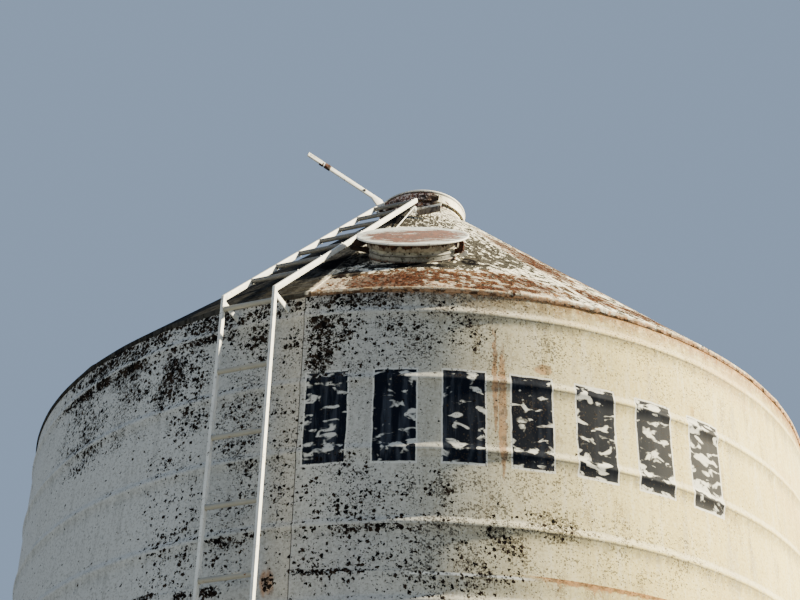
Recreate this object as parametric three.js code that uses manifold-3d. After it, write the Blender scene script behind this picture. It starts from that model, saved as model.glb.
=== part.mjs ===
// Farm grain silo: a round ribbed steel bin with a conical sheet roof, a filling neck with a tip-up lid,
// a round roof hatch and an access ladder up the wall and the roof.
// Millimetres, +Z up, origin on the ground at the centre of the floor. Azimuths count from -Y towards +X.
import * as THREE from 'three';
import { mergeVertices } from 'three/addons/utils/BufferGeometryUtils.js';
import Module from 'manifold-3d';

const wasm = await Module();
wasm.setup();

// Wall: four courses of three ribbed sheets
const WALL_RADIUS = 1831;
const SHEET = 4;
const COURSES = 4;
const COURSE_HEIGHT = 1200;
const SHEETS_IN_COURSE = 3;
const WALL_SEAM = -14.3;
const FACET = 6;
const TOP_TUCK = 8;
const RIBS_IN_COURSE = 4;
const RIB_PITCH = 300;
const FIRST_RIB_DROP = 113;
const RIB_HEIGHT = 8;
const RIB_UPPER_SLOPE = 32;
const RIB_UNDER_SLOPE = 45;
const RIB_CREST = 3;
const GAP = 0.3;

// Roof: ten sheets on a cone
const EAVE_Z = COURSES * COURSE_HEIGHT;
const EAVE_RADIUS = 1848;
const ROOF_RISE = 1810;
const ROOF_SHEETS = 10;
const EAVE_LIP = 14;
const HEM_CLEARANCE = 1.5;
const ROOF_SEAM_GAP = 0.01;
const HATCH_HOLE_DEPTH = 200;
const SLOPE = Math.atan2(ROOF_RISE, EAVE_RADIUS);
const SLOPE_SIN = Math.sin(SLOPE);
const SLOPE_COS = Math.cos(SLOPE);
const LARGE_RING = 360 / FACET;
const SMALL_RING = 36;
const EAVE_RING_DROP = 1.5;

// Floor, base angle and eave angle
const FLOOR = 6;
const BASE_LEG = 75;
const BASE_THICKNESS = 6;
const EAVE_ANGLE_LEG = 55;

// Filling neck and its lid at the top of the cone
const NECK_RADIUS = 219.5;
const NECK_TOP = 1672;
const NECK_BEAD_Z = 1612;
const LID_RADIUS = 231.6;
const LID_TOP = 1700;
const LID_RIM_FOOT = 1632;
const LID_CROWN = 12;
const LEVER_AZIMUTH = -60;
const LEVER_PIVOT = { out: 262, z: 1625 };
const LEVER_FOOT = { out: 256, z: 1692 };
const LEVER_TIP = { out: 705, z: 1836 };
const LEVER_WIDTH = 25;
const LEVER_THICKNESS = 10;
const LEVER_HEEL = 0.12;
const LEVER_HOLE = { back: 14, drop: 5, radius: 5 };
const LEVER_WELD_FOOT = 6;
const LEVER_WELD_TOP = 18;
const LID_BEAD = { reach: 3, foot: 9, top: 3, blend: 12 };
const NECK_BEAD_HALF = 6;
const NECK_DEPTH = 30;

// Hinges: a bar with an eye, on a pin between two ears
const PIN_RADIUS = 5;
const PIN_REACH = 22;
const EYE_HOLE = 6.5;
const EYE_RADIUS = 12;
const EAR_THICKNESS = 6;
const EAR_OFFSET = 14;
const EAR_ROOT = 20;
const EAR_TOP = 2;
const BRIDGE = { width: 36, height: 20, out: 12 };

// Rim clamp, rusted fast at the foot of the lid's rim
const RIM_CLAMP = { azimuth: 15, foot: 1600, shelf: 1622, top: 1658, throat: 19, reach: 32, width: 30 };
const CLAMP_ROLLER = { out: 26, z: 1640, radius: 10, half: 21 };

// Roof hatch, standing square on the roof
const HATCH_AZIMUTH = -1.64;
const HATCH_OUT = 1321;
const HATCH_NECK_RADIUS = 188.5;
const HATCH_NECK_HEIGHT = 75;
const HATCH_NECK_DEPTH = 25;
const HATCH_LID_RADIUS = 245.6;
const HATCH_LID_HEIGHT = 90;
const HATCH_SKIRT_RADIUS = 200.5;
const HATCH_SKIRT_FOOT = 45;
const HATCH_CROWN = 8;
const HATCH_RIM = { foot: 9, top: 1, blend: 2 };
const HATCH_PIVOT = { out: 262, height: 40 };
const STRAP = { root: 8, neckIn: 8, rimIn: 6, sheetLap: 1 };
const HATCH_EAR = { root: 12, top: 3, shoulder: 30 };
const HATCH_BRIDGE = { out: 10, height: 24 };
const CLAMP_PIVOT = { out: 222, height: 62 };
const CLAMP_TURN = -15;
const CLAMP_LUG = { foot: 12, shelf: 38, top: 72, front: 9, back: 13, thickness: 8 };
const CLAMP_PIN = { radius: 4, length: 22 };
const CLAMP_BAR = { eye: 8, hole: 5.2, offset: 14, back: 6, foot: 16, toe: 20, instep: 24, toeTop: 30 };

// Ladder: flat bar stiles with round rungs, bent over at the eave
const LADDER_AZIMUTH = -20;
const LADDER_WIDTH = 220;
const LADDER_STANDOFF = 130;
const STILE_THICKNESS = 12;
const STILE_DEPTH = 30;
const RUNG_RADIUS = 10.5;
const RUNG_PITCH = 285;
const FIRST_RUNG_DROP = 90;
const WALL_RUNGS = 16;
const LADDER_FOOT = 350;
const KINK_DROP = 37;
const ROOF_LADDER_LENGTH = 2200;
const ROOF_RUNG_FIRST = 310;
const ROOF_RUNG_PITCH = 305;
const ROOF_RUNGS = 7;
const LUG_HEIGHTS = { low: 600, middle: 2690, top: 4743 };
const LUG_WIDTH = 25;
const LUG_THICKNESS = 6;
const LUG_SEAT = 5;

// Stay at the ladder's top, in the ladder's own directions: side, out from the axis, height over the eave
const STAY_TOP = { side: 113, out: 425, z: 1432 };
const STAY_FOOT = { side: 143, out: 460, z: 1352 };
const STAY_BAR = 8;
const TIE_FOOT = { side: 150, out: 800, z: 1022 };
const TIE_RADIUS = 5;
const STAY_ANGLE = { from: 137, to: 268, out: 464, foot: 1343, corner: 1378, rise: 26, lean: 15 };

// Clean-out door low in the wall
const DOOR_AZIMUTH = 45.7;
const DOOR_WIDTH = 450;
const DOOR_HEIGHT = 500;
const DOOR_SILL = 150;
const DOOR_PROUD = 50;
const DOOR_DEPTH = 45;
const COVER_LAP = 25;
const COVER_THICKNESS = 6;

const finishes = {
  wall: new THREE.MeshStandardMaterial({ color: 0xb9b5a6, roughness: 0.75, metalness: 0.1 }),
  roof: new THREE.MeshStandardMaterial({ color: 0x9a9488, roughness: 0.8, metalness: 0.1 }),
  white: new THREE.MeshStandardMaterial({ color: 0xd9d8d2, roughness: 0.6, metalness: 0.1 }),
  rusted: new THREE.MeshStandardMaterial({ color: 0x6e4a36, roughness: 0.85, metalness: 0.3 }),
  steel: new THREE.MeshStandardMaterial({ color: 0x8c8f90, roughness: 0.6, metalness: 0.6 }),
};

const silo = new THREE.Group();

function addPiece(name, geometry, finish, parent = silo) {
  const mesh = new THREE.Mesh(geometry, finish.clone());
  mesh.name = name;
  parent.add(mesh);
  return mesh;
}

function roofZ(out) {
  return EAVE_Z + ROOF_RISE * (1 - out / EAVE_RADIUS);
}

// Booleans on closed meshes
function toSolid(geometry) {
  const bare = geometry.index ? geometry.toNonIndexed() : geometry.clone();
  bare.deleteAttribute('normal');
  bare.deleteAttribute('uv');
  const welded = mergeVertices(bare, 1e-3);
  return new wasm.Manifold(new wasm.Mesh({
    numProp: 3,
    vertProperties: new Float32Array(welded.attributes.position.array),
    triVerts: new Uint32Array(welded.index.array),
  }));
}

function toGeometry(solid) {
  const mesh = solid.getMesh();
  const geometry = new THREE.BufferGeometry();
  geometry.setAttribute('position', new THREE.BufferAttribute(new Float32Array(mesh.vertProperties), 3));
  geometry.setIndex(new THREE.BufferAttribute(new Uint32Array(mesh.triVerts), 1));
  return geometry;
}

function joined(geometries) {
  return toGeometry(geometries.map(toSolid).reduce((whole, piece) => whole.add(piece)));
}

function cut(geometry, tools) {
  return toGeometry(tools.map(toSolid).reduce((whole, tool) => whole.subtract(tool), toSolid(geometry)));
}

function outline(points) {
  return new THREE.Shape(points.map(([x, y]) => new THREE.Vector2(x, y)));
}

// A full turn of a closed section given as radius and height
function turned(section, segments) {
  const points = section.map(([radius, z]) => new THREE.Vector2(radius, z));
  const onAxis = section[0][0] === 0 && section[section.length - 1][0] === 0;
  if (!onAxis) points.push(points[0].clone());
  const geometry = new THREE.LatheGeometry(points, segments, THREE.MathUtils.degToRad(WALL_SEAM));
  geometry.rotateX(Math.PI / 2);
  return geometry;
}

// The same section bent round only from one azimuth to another
function bent(section, fromAzimuth, toAzimuth) {
  const steps = Math.round((toAzimuth - fromAzimuth) / FACET);
  const geometry = new THREE.ExtrudeGeometry(outline(section), { depth: 1, steps, bevelEnabled: false });
  const position = geometry.attributes.position;
  for (let i = 0; i < position.count; i += 1) {
    const azimuth = THREE.MathUtils.degToRad(THREE.MathUtils.lerp(toAzimuth, fromAzimuth, position.getZ(i)));
    const radius = position.getX(i);
    position.setXYZ(i, radius * Math.sin(azimuth), -radius * Math.cos(azimuth), position.getY(i));
  }
  return geometry;
}

// A plate standing in the upright plane through the axis: its outline is given as outward reach and height
function uprightPlate(shape, thickness, offset = 0) {
  const settings = { depth: thickness, bevelEnabled: false, curveSegments: 6 };
  const geometry = new THREE.ExtrudeGeometry(shape, settings);
  geometry.translate(0, 0, -thickness / 2 - offset);
  const basis = new THREE.Matrix4().makeBasis(
    new THREE.Vector3(0, -1, 0), new THREE.Vector3(0, 0, 1), new THREE.Vector3(-1, 0, 0));
  return geometry.applyMatrix4(basis);
}

// A pin lying across such a plane
function crossPin(out, z, radius, from, to, sides = 12) {
  const geometry = new THREE.CylinderGeometry(radius, radius, to - from, sides);
  geometry.rotateZ(Math.PI / 2);
  geometry.translate((from + to) / 2, -out, z);
  return geometry;
}

// A straight bar between two points given as side, outward reach and height
function barBetween(start, end, radius, sides) {
  const from = new THREE.Vector3(start.side, -start.out, start.z);
  const to = new THREE.Vector3(end.side, -end.out, end.z);
  const along = to.clone().sub(from);
  const geometry = new THREE.CylinderGeometry(radius, radius, along.length(), sides);
  const turn = new THREE.Quaternion().setFromUnitVectors(new THREE.Vector3(0, 1, 0), along.normalize());
  const middle = from.add(to).multiplyScalar(0.5);
  return geometry.applyQuaternion(turn).translate(middle.x, middle.y, middle.z);
}

function roundHole(x, y, radius) {
  const hole = new THREE.Path();
  hole.absarc(x, y, radius, 0, 2 * Math.PI, true);
  return hole;
}

function turnedGroup(azimuth, parent = silo) {
  const group = new THREE.Group();
  group.rotation.z = THREE.MathUtils.degToRad(azimuth);
  parent.add(group);
  return group;
}

// Two ears, the plate that bridges them and the pin through both
function hingeBracket(ear, pivotOut, pivotHeight, bridgeOut, bridgeHeight) {
  const bridge = new THREE.BoxGeometry(BRIDGE.width, SHEET, BRIDGE.height);
  bridge.translate(0, -bridgeOut, bridgeHeight);
  return joined([
    uprightPlate(ear, EAR_THICKNESS, EAR_OFFSET),
    uprightPlate(ear, EAR_THICKNESS, -EAR_OFFSET),
    crossPin(pivotOut, pivotHeight, PIN_RADIUS, -PIN_REACH, PIN_REACH),
    bridge,
  ]);
}

// Floor and base angle
function addBase() {
  const floorRadius = WALL_RADIUS - SHEET - 1;
  const floor = turned([[0, 0], [floorRadius, 0], [floorRadius, FLOOR], [0, FLOOR]], LARGE_RING);
  addPiece('floor_plate', floor, finishes.steel);
  const inner = WALL_RADIUS + 1;
  addPiece('base_ring', turned([
    [inner, 0],
    [WALL_RADIUS + BASE_LEG, 0],
    [WALL_RADIUS + BASE_LEG, BASE_THICKNESS],
    [inner + BASE_THICKNESS, BASE_THICKNESS],
    [inner + BASE_THICKNESS, BASE_LEG],
    [inner, BASE_LEG],
  ], LARGE_RING), finishes.rusted);
}

// One wall sheet: plain inside, four pressed ribs outside
function wallSection(foot, top, courseTop) {
  const section = [[WALL_RADIUS - SHEET, top], [WALL_RADIUS - SHEET, foot], [WALL_RADIUS, foot]];
  for (let rib = RIBS_IN_COURSE - 1; rib >= 0; rib -= 1) {
    const crest = courseTop - FIRST_RIB_DROP - rib * RIB_PITCH;
    section.push([WALL_RADIUS, crest - RIB_UNDER_SLOPE]);
    section.push([WALL_RADIUS + RIB_HEIGHT, crest - RIB_CREST]);
    section.push([WALL_RADIUS + RIB_HEIGHT, crest + RIB_CREST]);
    section.push([WALL_RADIUS, crest + RIB_UPPER_SLOPE]);
  }
  section.push([WALL_RADIUS, top]);
  return section;
}

function doorBlock(width, height, from, to) {
  const block = new THREE.BoxGeometry(width, to - from, height);
  block.translate(0, -WALL_RADIUS - (from + to) / 2, DOOR_SILL + DOOR_HEIGHT / 2);
  block.rotateZ(THREE.MathUtils.degToRad(DOOR_AZIMUTH));
  return block;
}

function addWall() {
  const spread = 360 / SHEETS_IN_COURSE;
  const seamGap = THREE.MathUtils.radToDeg(GAP / 2 / WALL_RADIUS);
  const letters = 'abc';
  const opening = doorBlock(DOOR_WIDTH + 2 * GAP, DOOR_HEIGHT + 2 * GAP, -DOOR_DEPTH * 2, DOOR_PROUD);
  for (let course = 1; course <= COURSES; course += 1) {
    const courseTop = course * COURSE_HEIGHT;
    const foot = courseTop - COURSE_HEIGHT;
    const top = course === COURSES ? courseTop + TOP_TUCK : courseTop - GAP;
    for (let i = 0; i < SHEETS_IN_COURSE; i += 1) {
      const from = WALL_SEAM + i * spread;
      const plain = bent(wallSection(foot, top, courseTop), from + seamGap, from + spread - seamGap);
      const holdsDoor = course === 1 && i === 0;
      const sheet = holdsDoor ? cut(plain, [opening]) : plain;
      addPiece(`wall_course_${course}_sheet_${letters[i]}`, sheet, finishes.wall);
    }
  }
}

// Clean-out door: a box frame through the wall and a bolted cover
function addDoor() {
  const frame = cut(doorBlock(DOOR_WIDTH, DOOR_HEIGHT, -DOOR_DEPTH, DOOR_PROUD), [
    doorBlock(DOOR_WIDTH - 2 * SHEET, DOOR_HEIGHT - 2 * SHEET, -DOOR_DEPTH - 1, DOOR_PROUD + 1),
  ]);
  addPiece('cleanout_frame', frame, finishes.wall);
  const back = DOOR_PROUD + GAP;
  const cover = doorBlock(DOOR_WIDTH + COVER_LAP, DOOR_HEIGHT + COVER_LAP, back, back + COVER_THICKNESS);
  addPiece('cleanout_cover', cover, finishes.wall);
}

// Rolled angle inside the wall top that carries the roof sheets
function addEaveRing() {
  const outer = WALL_RADIUS - SHEET - 1;
  const reach = EAVE_ANGLE_LEG * SLOPE_COS;
  const under = (out) => roofZ(out) - SHEET / SLOPE_COS - EAVE_RING_DROP;
  addPiece('eave_ring', turned([
    [outer - SHEET, EAVE_Z - EAVE_ANGLE_LEG],
    [outer, EAVE_Z - EAVE_ANGLE_LEG],
    [outer, under(outer)],
    [outer - reach, under(outer - reach)],
    [outer - reach, under(outer - reach) - SHEET],
    [outer - SHEET, under(outer - SHEET) - SHEET],
  ], LARGE_RING), finishes.steel);
}

// Roof sheets, hemmed in towards the wall at the eave
function hatchMatrix() {
  const place = new THREE.Matrix4().makeTranslation(0, -HATCH_OUT, roofZ(HATCH_OUT));
  const tilt = new THREE.Matrix4().makeRotationX(SLOPE);
  const turn = new THREE.Matrix4().makeRotationZ(THREE.MathUtils.degToRad(HATCH_AZIMUTH));
  return turn.multiply(place).multiply(tilt);
}

function addRoof() {
  const spread = 360 / ROOF_SHEETS;
  const top = NECK_RADIUS + 1;
  const drop = SHEET / SLOPE_COS;
  const hem = WALL_RADIUS + HEM_CLEARANCE;
  const section = [
    [EAVE_RADIUS, EAVE_Z],
    [top, roofZ(top)],
    [top, roofZ(top) - drop],
    [hem, roofZ(hem) - drop],
    [hem, EAVE_Z - EAVE_LIP],
    [EAVE_RADIUS, EAVE_Z - EAVE_LIP],
  ];
  const holeRadius = HATCH_NECK_RADIUS + 1;
  const hole = new THREE.CylinderGeometry(holeRadius, holeRadius, HATCH_HOLE_DEPTH, SMALL_RING);
  hole.rotateX(Math.PI / 2);
  hole.applyMatrix4(hatchMatrix());
  for (let i = 0; i < ROOF_SHEETS; i += 1) {
    const from = WALL_SEAM + i * spread;
    const sheet = bent(section, from + ROOF_SEAM_GAP, from + spread - ROOF_SEAM_GAP);
    const number = String(i + 1).padStart(2, '0');
    addPiece(`roof_sheet_${number}`, i === 0 ? cut(sheet, [hole]) : sheet, finishes.roof);
  }
}

// Filling neck, its lid and the opener lever
function addFillingNeck() {
  const inner = NECK_RADIUS - SHEET;
  const foot = roofZ(NECK_RADIUS) - NECK_DEPTH;
  addPiece('filling_neck', turned([
    [inner, foot],
    [NECK_RADIUS, foot],
    [NECK_RADIUS, EAVE_Z + NECK_BEAD_Z - NECK_BEAD_HALF],
    [NECK_RADIUS + SHEET, EAVE_Z + NECK_BEAD_Z],
    [NECK_RADIUS, EAVE_Z + NECK_BEAD_Z + NECK_BEAD_HALF],
    [NECK_RADIUS, EAVE_Z + NECK_TOP],
    [inner, EAVE_Z + NECK_TOP],
  ], SMALL_RING), finishes.wall);
  const rim = LID_RADIUS - SHEET;
  const bead = LID_RADIUS + LID_BEAD.reach;
  addPiece('top_lid', turned([
    [0, EAVE_Z + LID_TOP + LID_CROWN - SHEET],
    [rim, EAVE_Z + LID_TOP - SHEET],
    [rim, EAVE_Z + LID_RIM_FOOT],
    [LID_RADIUS, EAVE_Z + LID_RIM_FOOT],
    [LID_RADIUS, EAVE_Z + LID_TOP - LID_BEAD.blend],
    [bead, EAVE_Z + LID_TOP - LID_BEAD.foot],
    [bead, EAVE_Z + LID_TOP - LID_BEAD.top],
    [LID_RADIUS, EAVE_Z + LID_TOP],
    [0, EAVE_Z + LID_TOP + LID_CROWN],
  ], SMALL_RING), finishes.wall);
}

function leverOutline() {
  const run = LEVER_TIP.out - LEVER_FOOT.out;
  const rise = LEVER_TIP.z - LEVER_FOOT.z;
  const half = LEVER_WIDTH / 2 / Math.hypot(run, rise);
  const side = { out: -rise * half, z: run * half };
  const weld = LID_RADIUS + 1;
  const shape = new THREE.Shape();
  shape.moveTo(weld, LEVER_FOOT.z - LEVER_WELD_TOP);
  shape.lineTo(weld, LID_RIM_FOOT + LEVER_WELD_FOOT);
  shape.lineTo(LEVER_PIVOT.out - EYE_RADIUS, LEVER_PIVOT.z);
  shape.absarc(LEVER_PIVOT.out, LEVER_PIVOT.z, EYE_RADIUS, Math.PI, 2 * Math.PI, false);
  shape.lineTo(LEVER_PIVOT.out + EYE_RADIUS, LEVER_PIVOT.z + LEVER_WIDTH);
  shape.lineTo(LEVER_FOOT.out + run * LEVER_HEEL - side.out, LEVER_FOOT.z + rise * LEVER_HEEL - side.z);
  shape.lineTo(LEVER_TIP.out - side.out, LEVER_TIP.z - side.z);
  shape.lineTo(LEVER_TIP.out + side.out, LEVER_TIP.z + side.z);
  shape.lineTo(LEVER_FOOT.out + side.out, LEVER_FOOT.z + side.z);
  shape.holes.push(roundHole(LEVER_PIVOT.out, LEVER_PIVOT.z, EYE_HOLE));
  const tip = { out: LEVER_TIP.out - LEVER_HOLE.back, z: LEVER_TIP.z - LEVER_HOLE.drop };
  shape.holes.push(roundHole(tip.out, tip.z, LEVER_HOLE.radius));
  return shape;
}

function addLever() {
  const group = turnedGroup(LEVER_AZIMUTH);
  const lever = uprightPlate(leverOutline(), LEVER_THICKNESS);
  lever.translate(0, 0, EAVE_Z);
  addPiece('opener_lever', lever, finishes.white, group);

  const neck = NECK_RADIUS + SHEET + 1;
  const ear = new THREE.Shape();
  ear.moveTo(neck, LEVER_PIVOT.z - EAR_ROOT);
  ear.lineTo(LEVER_PIVOT.out, LEVER_PIVOT.z - EYE_RADIUS);
  ear.absarc(LEVER_PIVOT.out, LEVER_PIVOT.z, EYE_RADIUS, -Math.PI / 2, Math.PI / 2, false);
  ear.lineTo(LEVER_PIVOT.out - EYE_RADIUS, LEVER_PIVOT.z + EAR_TOP);
  ear.lineTo(neck, LEVER_PIVOT.z + EAR_TOP);
  const bracket = hingeBracket(ear, LEVER_PIVOT.out, LEVER_PIVOT.z, neck + BRIDGE.out,
    LEVER_PIVOT.z - BRIDGE.height / 2);
  bracket.translate(0, 0, EAVE_Z);
  addPiece('top_hinge_bracket', bracket, finishes.rusted, group);
}

// Rim clamp on the filling neck
function addRimClamp() {
  const group = turnedGroup(RIM_CLAMP.azimuth);
  const neck = NECK_RADIUS + SHEET + 1;
  const hook = uprightPlate(outline([
    [neck, RIM_CLAMP.foot],
    [neck + RIM_CLAMP.reach, RIM_CLAMP.foot],
    [neck + RIM_CLAMP.reach, RIM_CLAMP.top],
    [neck + RIM_CLAMP.throat, RIM_CLAMP.top],
    [neck + RIM_CLAMP.throat, RIM_CLAMP.shelf],
    [neck, RIM_CLAMP.shelf],
  ]), RIM_CLAMP.width);
  const roller = crossPin(neck + CLAMP_ROLLER.out, CLAMP_ROLLER.z, CLAMP_ROLLER.radius,
    -CLAMP_ROLLER.half, CLAMP_ROLLER.half, 8);
  const clamp = joined([hook, roller]);
  clamp.translate(0, 0, EAVE_Z);
  addPiece('rim_clamp', clamp, finishes.rusted, group);
}

// Roof hatch: a short neck through the roof, a dished lid on a side hinge, and a swing clamp
function hatchLid() {
  const top = HATCH_LID_HEIGHT;
  return turned([
    [0, top + HATCH_CROWN - SHEET],
    [HATCH_SKIRT_RADIUS - SHEET, top - SHEET],
    [HATCH_SKIRT_RADIUS - SHEET, HATCH_SKIRT_FOOT],
    [HATCH_SKIRT_RADIUS, HATCH_SKIRT_FOOT],
    [HATCH_SKIRT_RADIUS, top - SHEET],
    [HATCH_LID_RADIUS - SHEET, top - SHEET],
    [HATCH_LID_RADIUS - HATCH_RIM.blend, top - HATCH_RIM.foot],
    [HATCH_LID_RADIUS, top - HATCH_RIM.foot],
    [HATCH_LID_RADIUS, top - HATCH_RIM.top],
    [HATCH_LID_RADIUS - SHEET, top],
    [HATCH_SKIRT_RADIUS, top],
    [0, top + HATCH_CROWN],
  ], SMALL_RING);
}

function hatchStrap() {
  const skirt = HATCH_SKIRT_RADIUS - STRAP.sheetLap;
  const shape = new THREE.Shape();
  shape.moveTo(skirt, HATCH_SKIRT_FOOT + STRAP.root);
  shape.lineTo(HATCH_PIVOT.out - STRAP.neckIn, HATCH_PIVOT.height - STRAP.neckIn);
  shape.absarc(HATCH_PIVOT.out, HATCH_PIVOT.height, EYE_RADIUS, -Math.PI * 0.75, Math.PI * 0.25, false);
  shape.lineTo(HATCH_LID_RADIUS - STRAP.rimIn, HATCH_LID_HEIGHT - SHEET + STRAP.sheetLap);
  shape.lineTo(skirt, HATCH_LID_HEIGHT - SHEET + STRAP.sheetLap);
  shape.holes.push(roundHole(HATCH_PIVOT.out, HATCH_PIVOT.height, EYE_HOLE));
  return uprightPlate(shape, LEVER_THICKNESS);
}

function addHatch() {
  const frame = new THREE.Group();
  hatchMatrix().decompose(frame.position, frame.quaternion, frame.scale);
  silo.add(frame);

  const inner = HATCH_NECK_RADIUS - SHEET;
  addPiece('hatch_neck', turned([
    [inner, -HATCH_NECK_DEPTH],
    [HATCH_NECK_RADIUS, -HATCH_NECK_DEPTH],
    [HATCH_NECK_RADIUS, HATCH_NECK_HEIGHT],
    [inner, HATCH_NECK_HEIGHT],
  ], SMALL_RING), finishes.wall, frame);

  const strap = hatchStrap().rotateZ(-Math.PI / 2);
  addPiece('hatch_lid', joined([hatchLid(), strap]), finishes.roof, frame);

  const left = turnedGroup(-90, frame);
  const neck = HATCH_NECK_RADIUS + 1;
  const ear = new THREE.Shape();
  ear.moveTo(neck, HATCH_EAR.root);
  ear.lineTo(HATCH_PIVOT.out, HATCH_PIVOT.height - EYE_RADIUS);
  ear.absarc(HATCH_PIVOT.out, HATCH_PIVOT.height, EYE_RADIUS, -Math.PI / 2, Math.PI / 2, false);
  ear.lineTo(HATCH_PIVOT.out - HATCH_EAR.shoulder, HATCH_PIVOT.height - HATCH_EAR.top);
  ear.lineTo(neck, HATCH_PIVOT.height - HATCH_EAR.top);
  const bracket = hingeBracket(ear, HATCH_PIVOT.out, HATCH_PIVOT.height, neck + HATCH_BRIDGE.out,
    HATCH_BRIDGE.height);
  addPiece('hatch_hinge_bracket', bracket, finishes.rusted, left);
  addClamp(turnedGroup(90 + CLAMP_TURN, frame));
}

// The hatch's clamp: a lug on the neck and a handle that swings out on it
function addClamp(group) {
  const neck = HATCH_NECK_RADIUS + 1;
  const lug = outline([
    [neck, CLAMP_LUG.foot],
    [CLAMP_PIVOT.out + CLAMP_LUG.front, CLAMP_LUG.foot],
    [CLAMP_PIVOT.out + CLAMP_LUG.front, CLAMP_LUG.top],
    [CLAMP_PIVOT.out - CLAMP_LUG.back, CLAMP_LUG.top],
    [CLAMP_PIVOT.out - CLAMP_LUG.back, CLAMP_LUG.shelf],
    [neck, CLAMP_LUG.shelf],
  ]);
  addPiece('hatch_clamp_lug', joined([
    uprightPlate(lug, CLAMP_LUG.thickness),
    crossPin(CLAMP_PIVOT.out, CLAMP_PIVOT.height, CLAMP_PIN.radius, 0, CLAMP_PIN.length),
  ]), finishes.rusted, group);
  const bar = new THREE.Shape();
  bar.moveTo(CLAMP_PIVOT.out - CLAMP_BAR.eye, CLAMP_PIVOT.height);
  bar.lineTo(CLAMP_PIVOT.out - CLAMP_BAR.back, CLAMP_BAR.instep);
  bar.lineTo(CLAMP_PIVOT.out + CLAMP_BAR.eye, CLAMP_BAR.foot);
  bar.lineTo(CLAMP_PIVOT.out + CLAMP_BAR.toe, CLAMP_BAR.toeTop);
  bar.lineTo(CLAMP_PIVOT.out + CLAMP_BAR.eye, CLAMP_PIVOT.height);
  bar.absarc(CLAMP_PIVOT.out, CLAMP_PIVOT.height, CLAMP_BAR.eye, 0, Math.PI, false);
  bar.holes.push(roundHole(CLAMP_PIVOT.out, CLAMP_PIVOT.height, CLAMP_BAR.hole));
  const handle = uprightPlate(bar, CLAMP_LUG.thickness, CLAMP_BAR.offset);
  addPiece('hatch_clamp_handle', handle, finishes.white, group);
}

// Ladder
function stileMitre() {
  const reach = STILE_DEPTH / 2 / (1 + SLOPE_SIN);
  return { out: (1 + SLOPE_SIN) * reach, z: SLOPE_COS * reach };
}

function rung(out, z) {
  return crossPin(out, z, RUNG_RADIUS, -LADDER_WIDTH / 2, LADDER_WIDTH / 2, 8);
}

function addLadder() {
  const group = turnedGroup(LADDER_AZIMUTH);
  const half = STILE_DEPTH / 2;
  const out = WALL_RADIUS + LADDER_STANDOFF;
  const kink = EAVE_Z - KINK_DROP;
  const mitre = stileMitre();
  const wallStile = outline([
    [out - half, LADDER_FOOT],
    [out + half, LADDER_FOOT],
    [out + mitre.out, kink + mitre.z - GAP],
    [out - mitre.out, kink - mitre.z - GAP],
  ]);
  const far = { out: out - ROOF_LADDER_LENGTH * SLOPE_COS, z: kink + ROOF_LADDER_LENGTH * SLOPE_SIN };
  const roofStile = outline([
    [out - mitre.out, kink - mitre.z + GAP],
    [out + mitre.out, kink + mitre.z + GAP],
    [far.out + half * SLOPE_SIN, far.z + half * SLOPE_COS],
    [far.out - half * SLOPE_SIN, far.z - half * SLOPE_COS],
  ]);
  const sides = { left: -LADDER_WIDTH / 2, right: LADDER_WIDTH / 2 };
  const wallPieces = [];
  const roofPieces = [];
  for (const side of Object.values(sides)) {
    wallPieces.push(uprightPlate(wallStile, STILE_THICKNESS, side));
    roofPieces.push(uprightPlate(roofStile, STILE_THICKNESS, side));
  }
  for (let i = 0; i < WALL_RUNGS; i += 1) {
    wallPieces.push(rung(out, EAVE_Z - FIRST_RUNG_DROP - i * RUNG_PITCH));
  }
  for (let i = 0; i < ROOF_RUNGS; i += 1) {
    const along = ROOF_RUNG_FIRST + i * ROOF_RUNG_PITCH;
    roofPieces.push(rung(out - along * SLOPE_COS, kink + along * SLOPE_SIN));
  }
  addPiece('wall_ladder', joined(wallPieces), finishes.white, group);
  addPiece('roof_ladder', joined(roofPieces), finishes.white, group);

  const seat = WALL_RADIUS - LUG_SEAT;
  const lugReach = out - half - GAP - seat;
  for (const [level, height] of Object.entries(LUG_HEIGHTS)) {
    for (const [name, side] of Object.entries(sides)) {
      const lug = new THREE.BoxGeometry(LUG_THICKNESS, lugReach, LUG_WIDTH);
      lug.translate(side, -seat - lugReach / 2, height);
      addPiece(`ladder_lug_${level}_${name}`, lug, finishes.white, group);
    }
  }
  addStay(group);
}

// Post, angle and tie rod that hold the ladder's top off the roof
function addStay(group) {
  const { from, to, out, foot, corner, rise, lean } = STAY_ANGLE;
  const angle = outline([
    [out, foot],
    [out, corner],
    [out - lean, corner + rise],
    [out - lean - SHEET, corner + rise - SHEET / 2],
    [out - SHEET, corner - SHEET / 2],
    [out - SHEET, foot],
  ]);
  const stay = joined([
    barBetween(STAY_TOP, STAY_FOOT, STAY_BAR, 4),
    barBetween(STAY_TOP, TIE_FOOT, TIE_RADIUS, 8),
    uprightPlate(angle, to - from, (from + to) / 2),
  ]);
  stay.translate(0, 0, EAVE_Z);
  addPiece('ladder_top_stay', stay, finishes.white, group);
}

addBase();
addWall();
addDoor();
addEaveRing();
addRoof();
addFillingNeck();
addLever();
addRimClamp();
addHatch();
addLadder();

export default silo;
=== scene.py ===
import math
import random

import bmesh
import bpy
import numpy as np
from mathutils import Matrix, Vector


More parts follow.
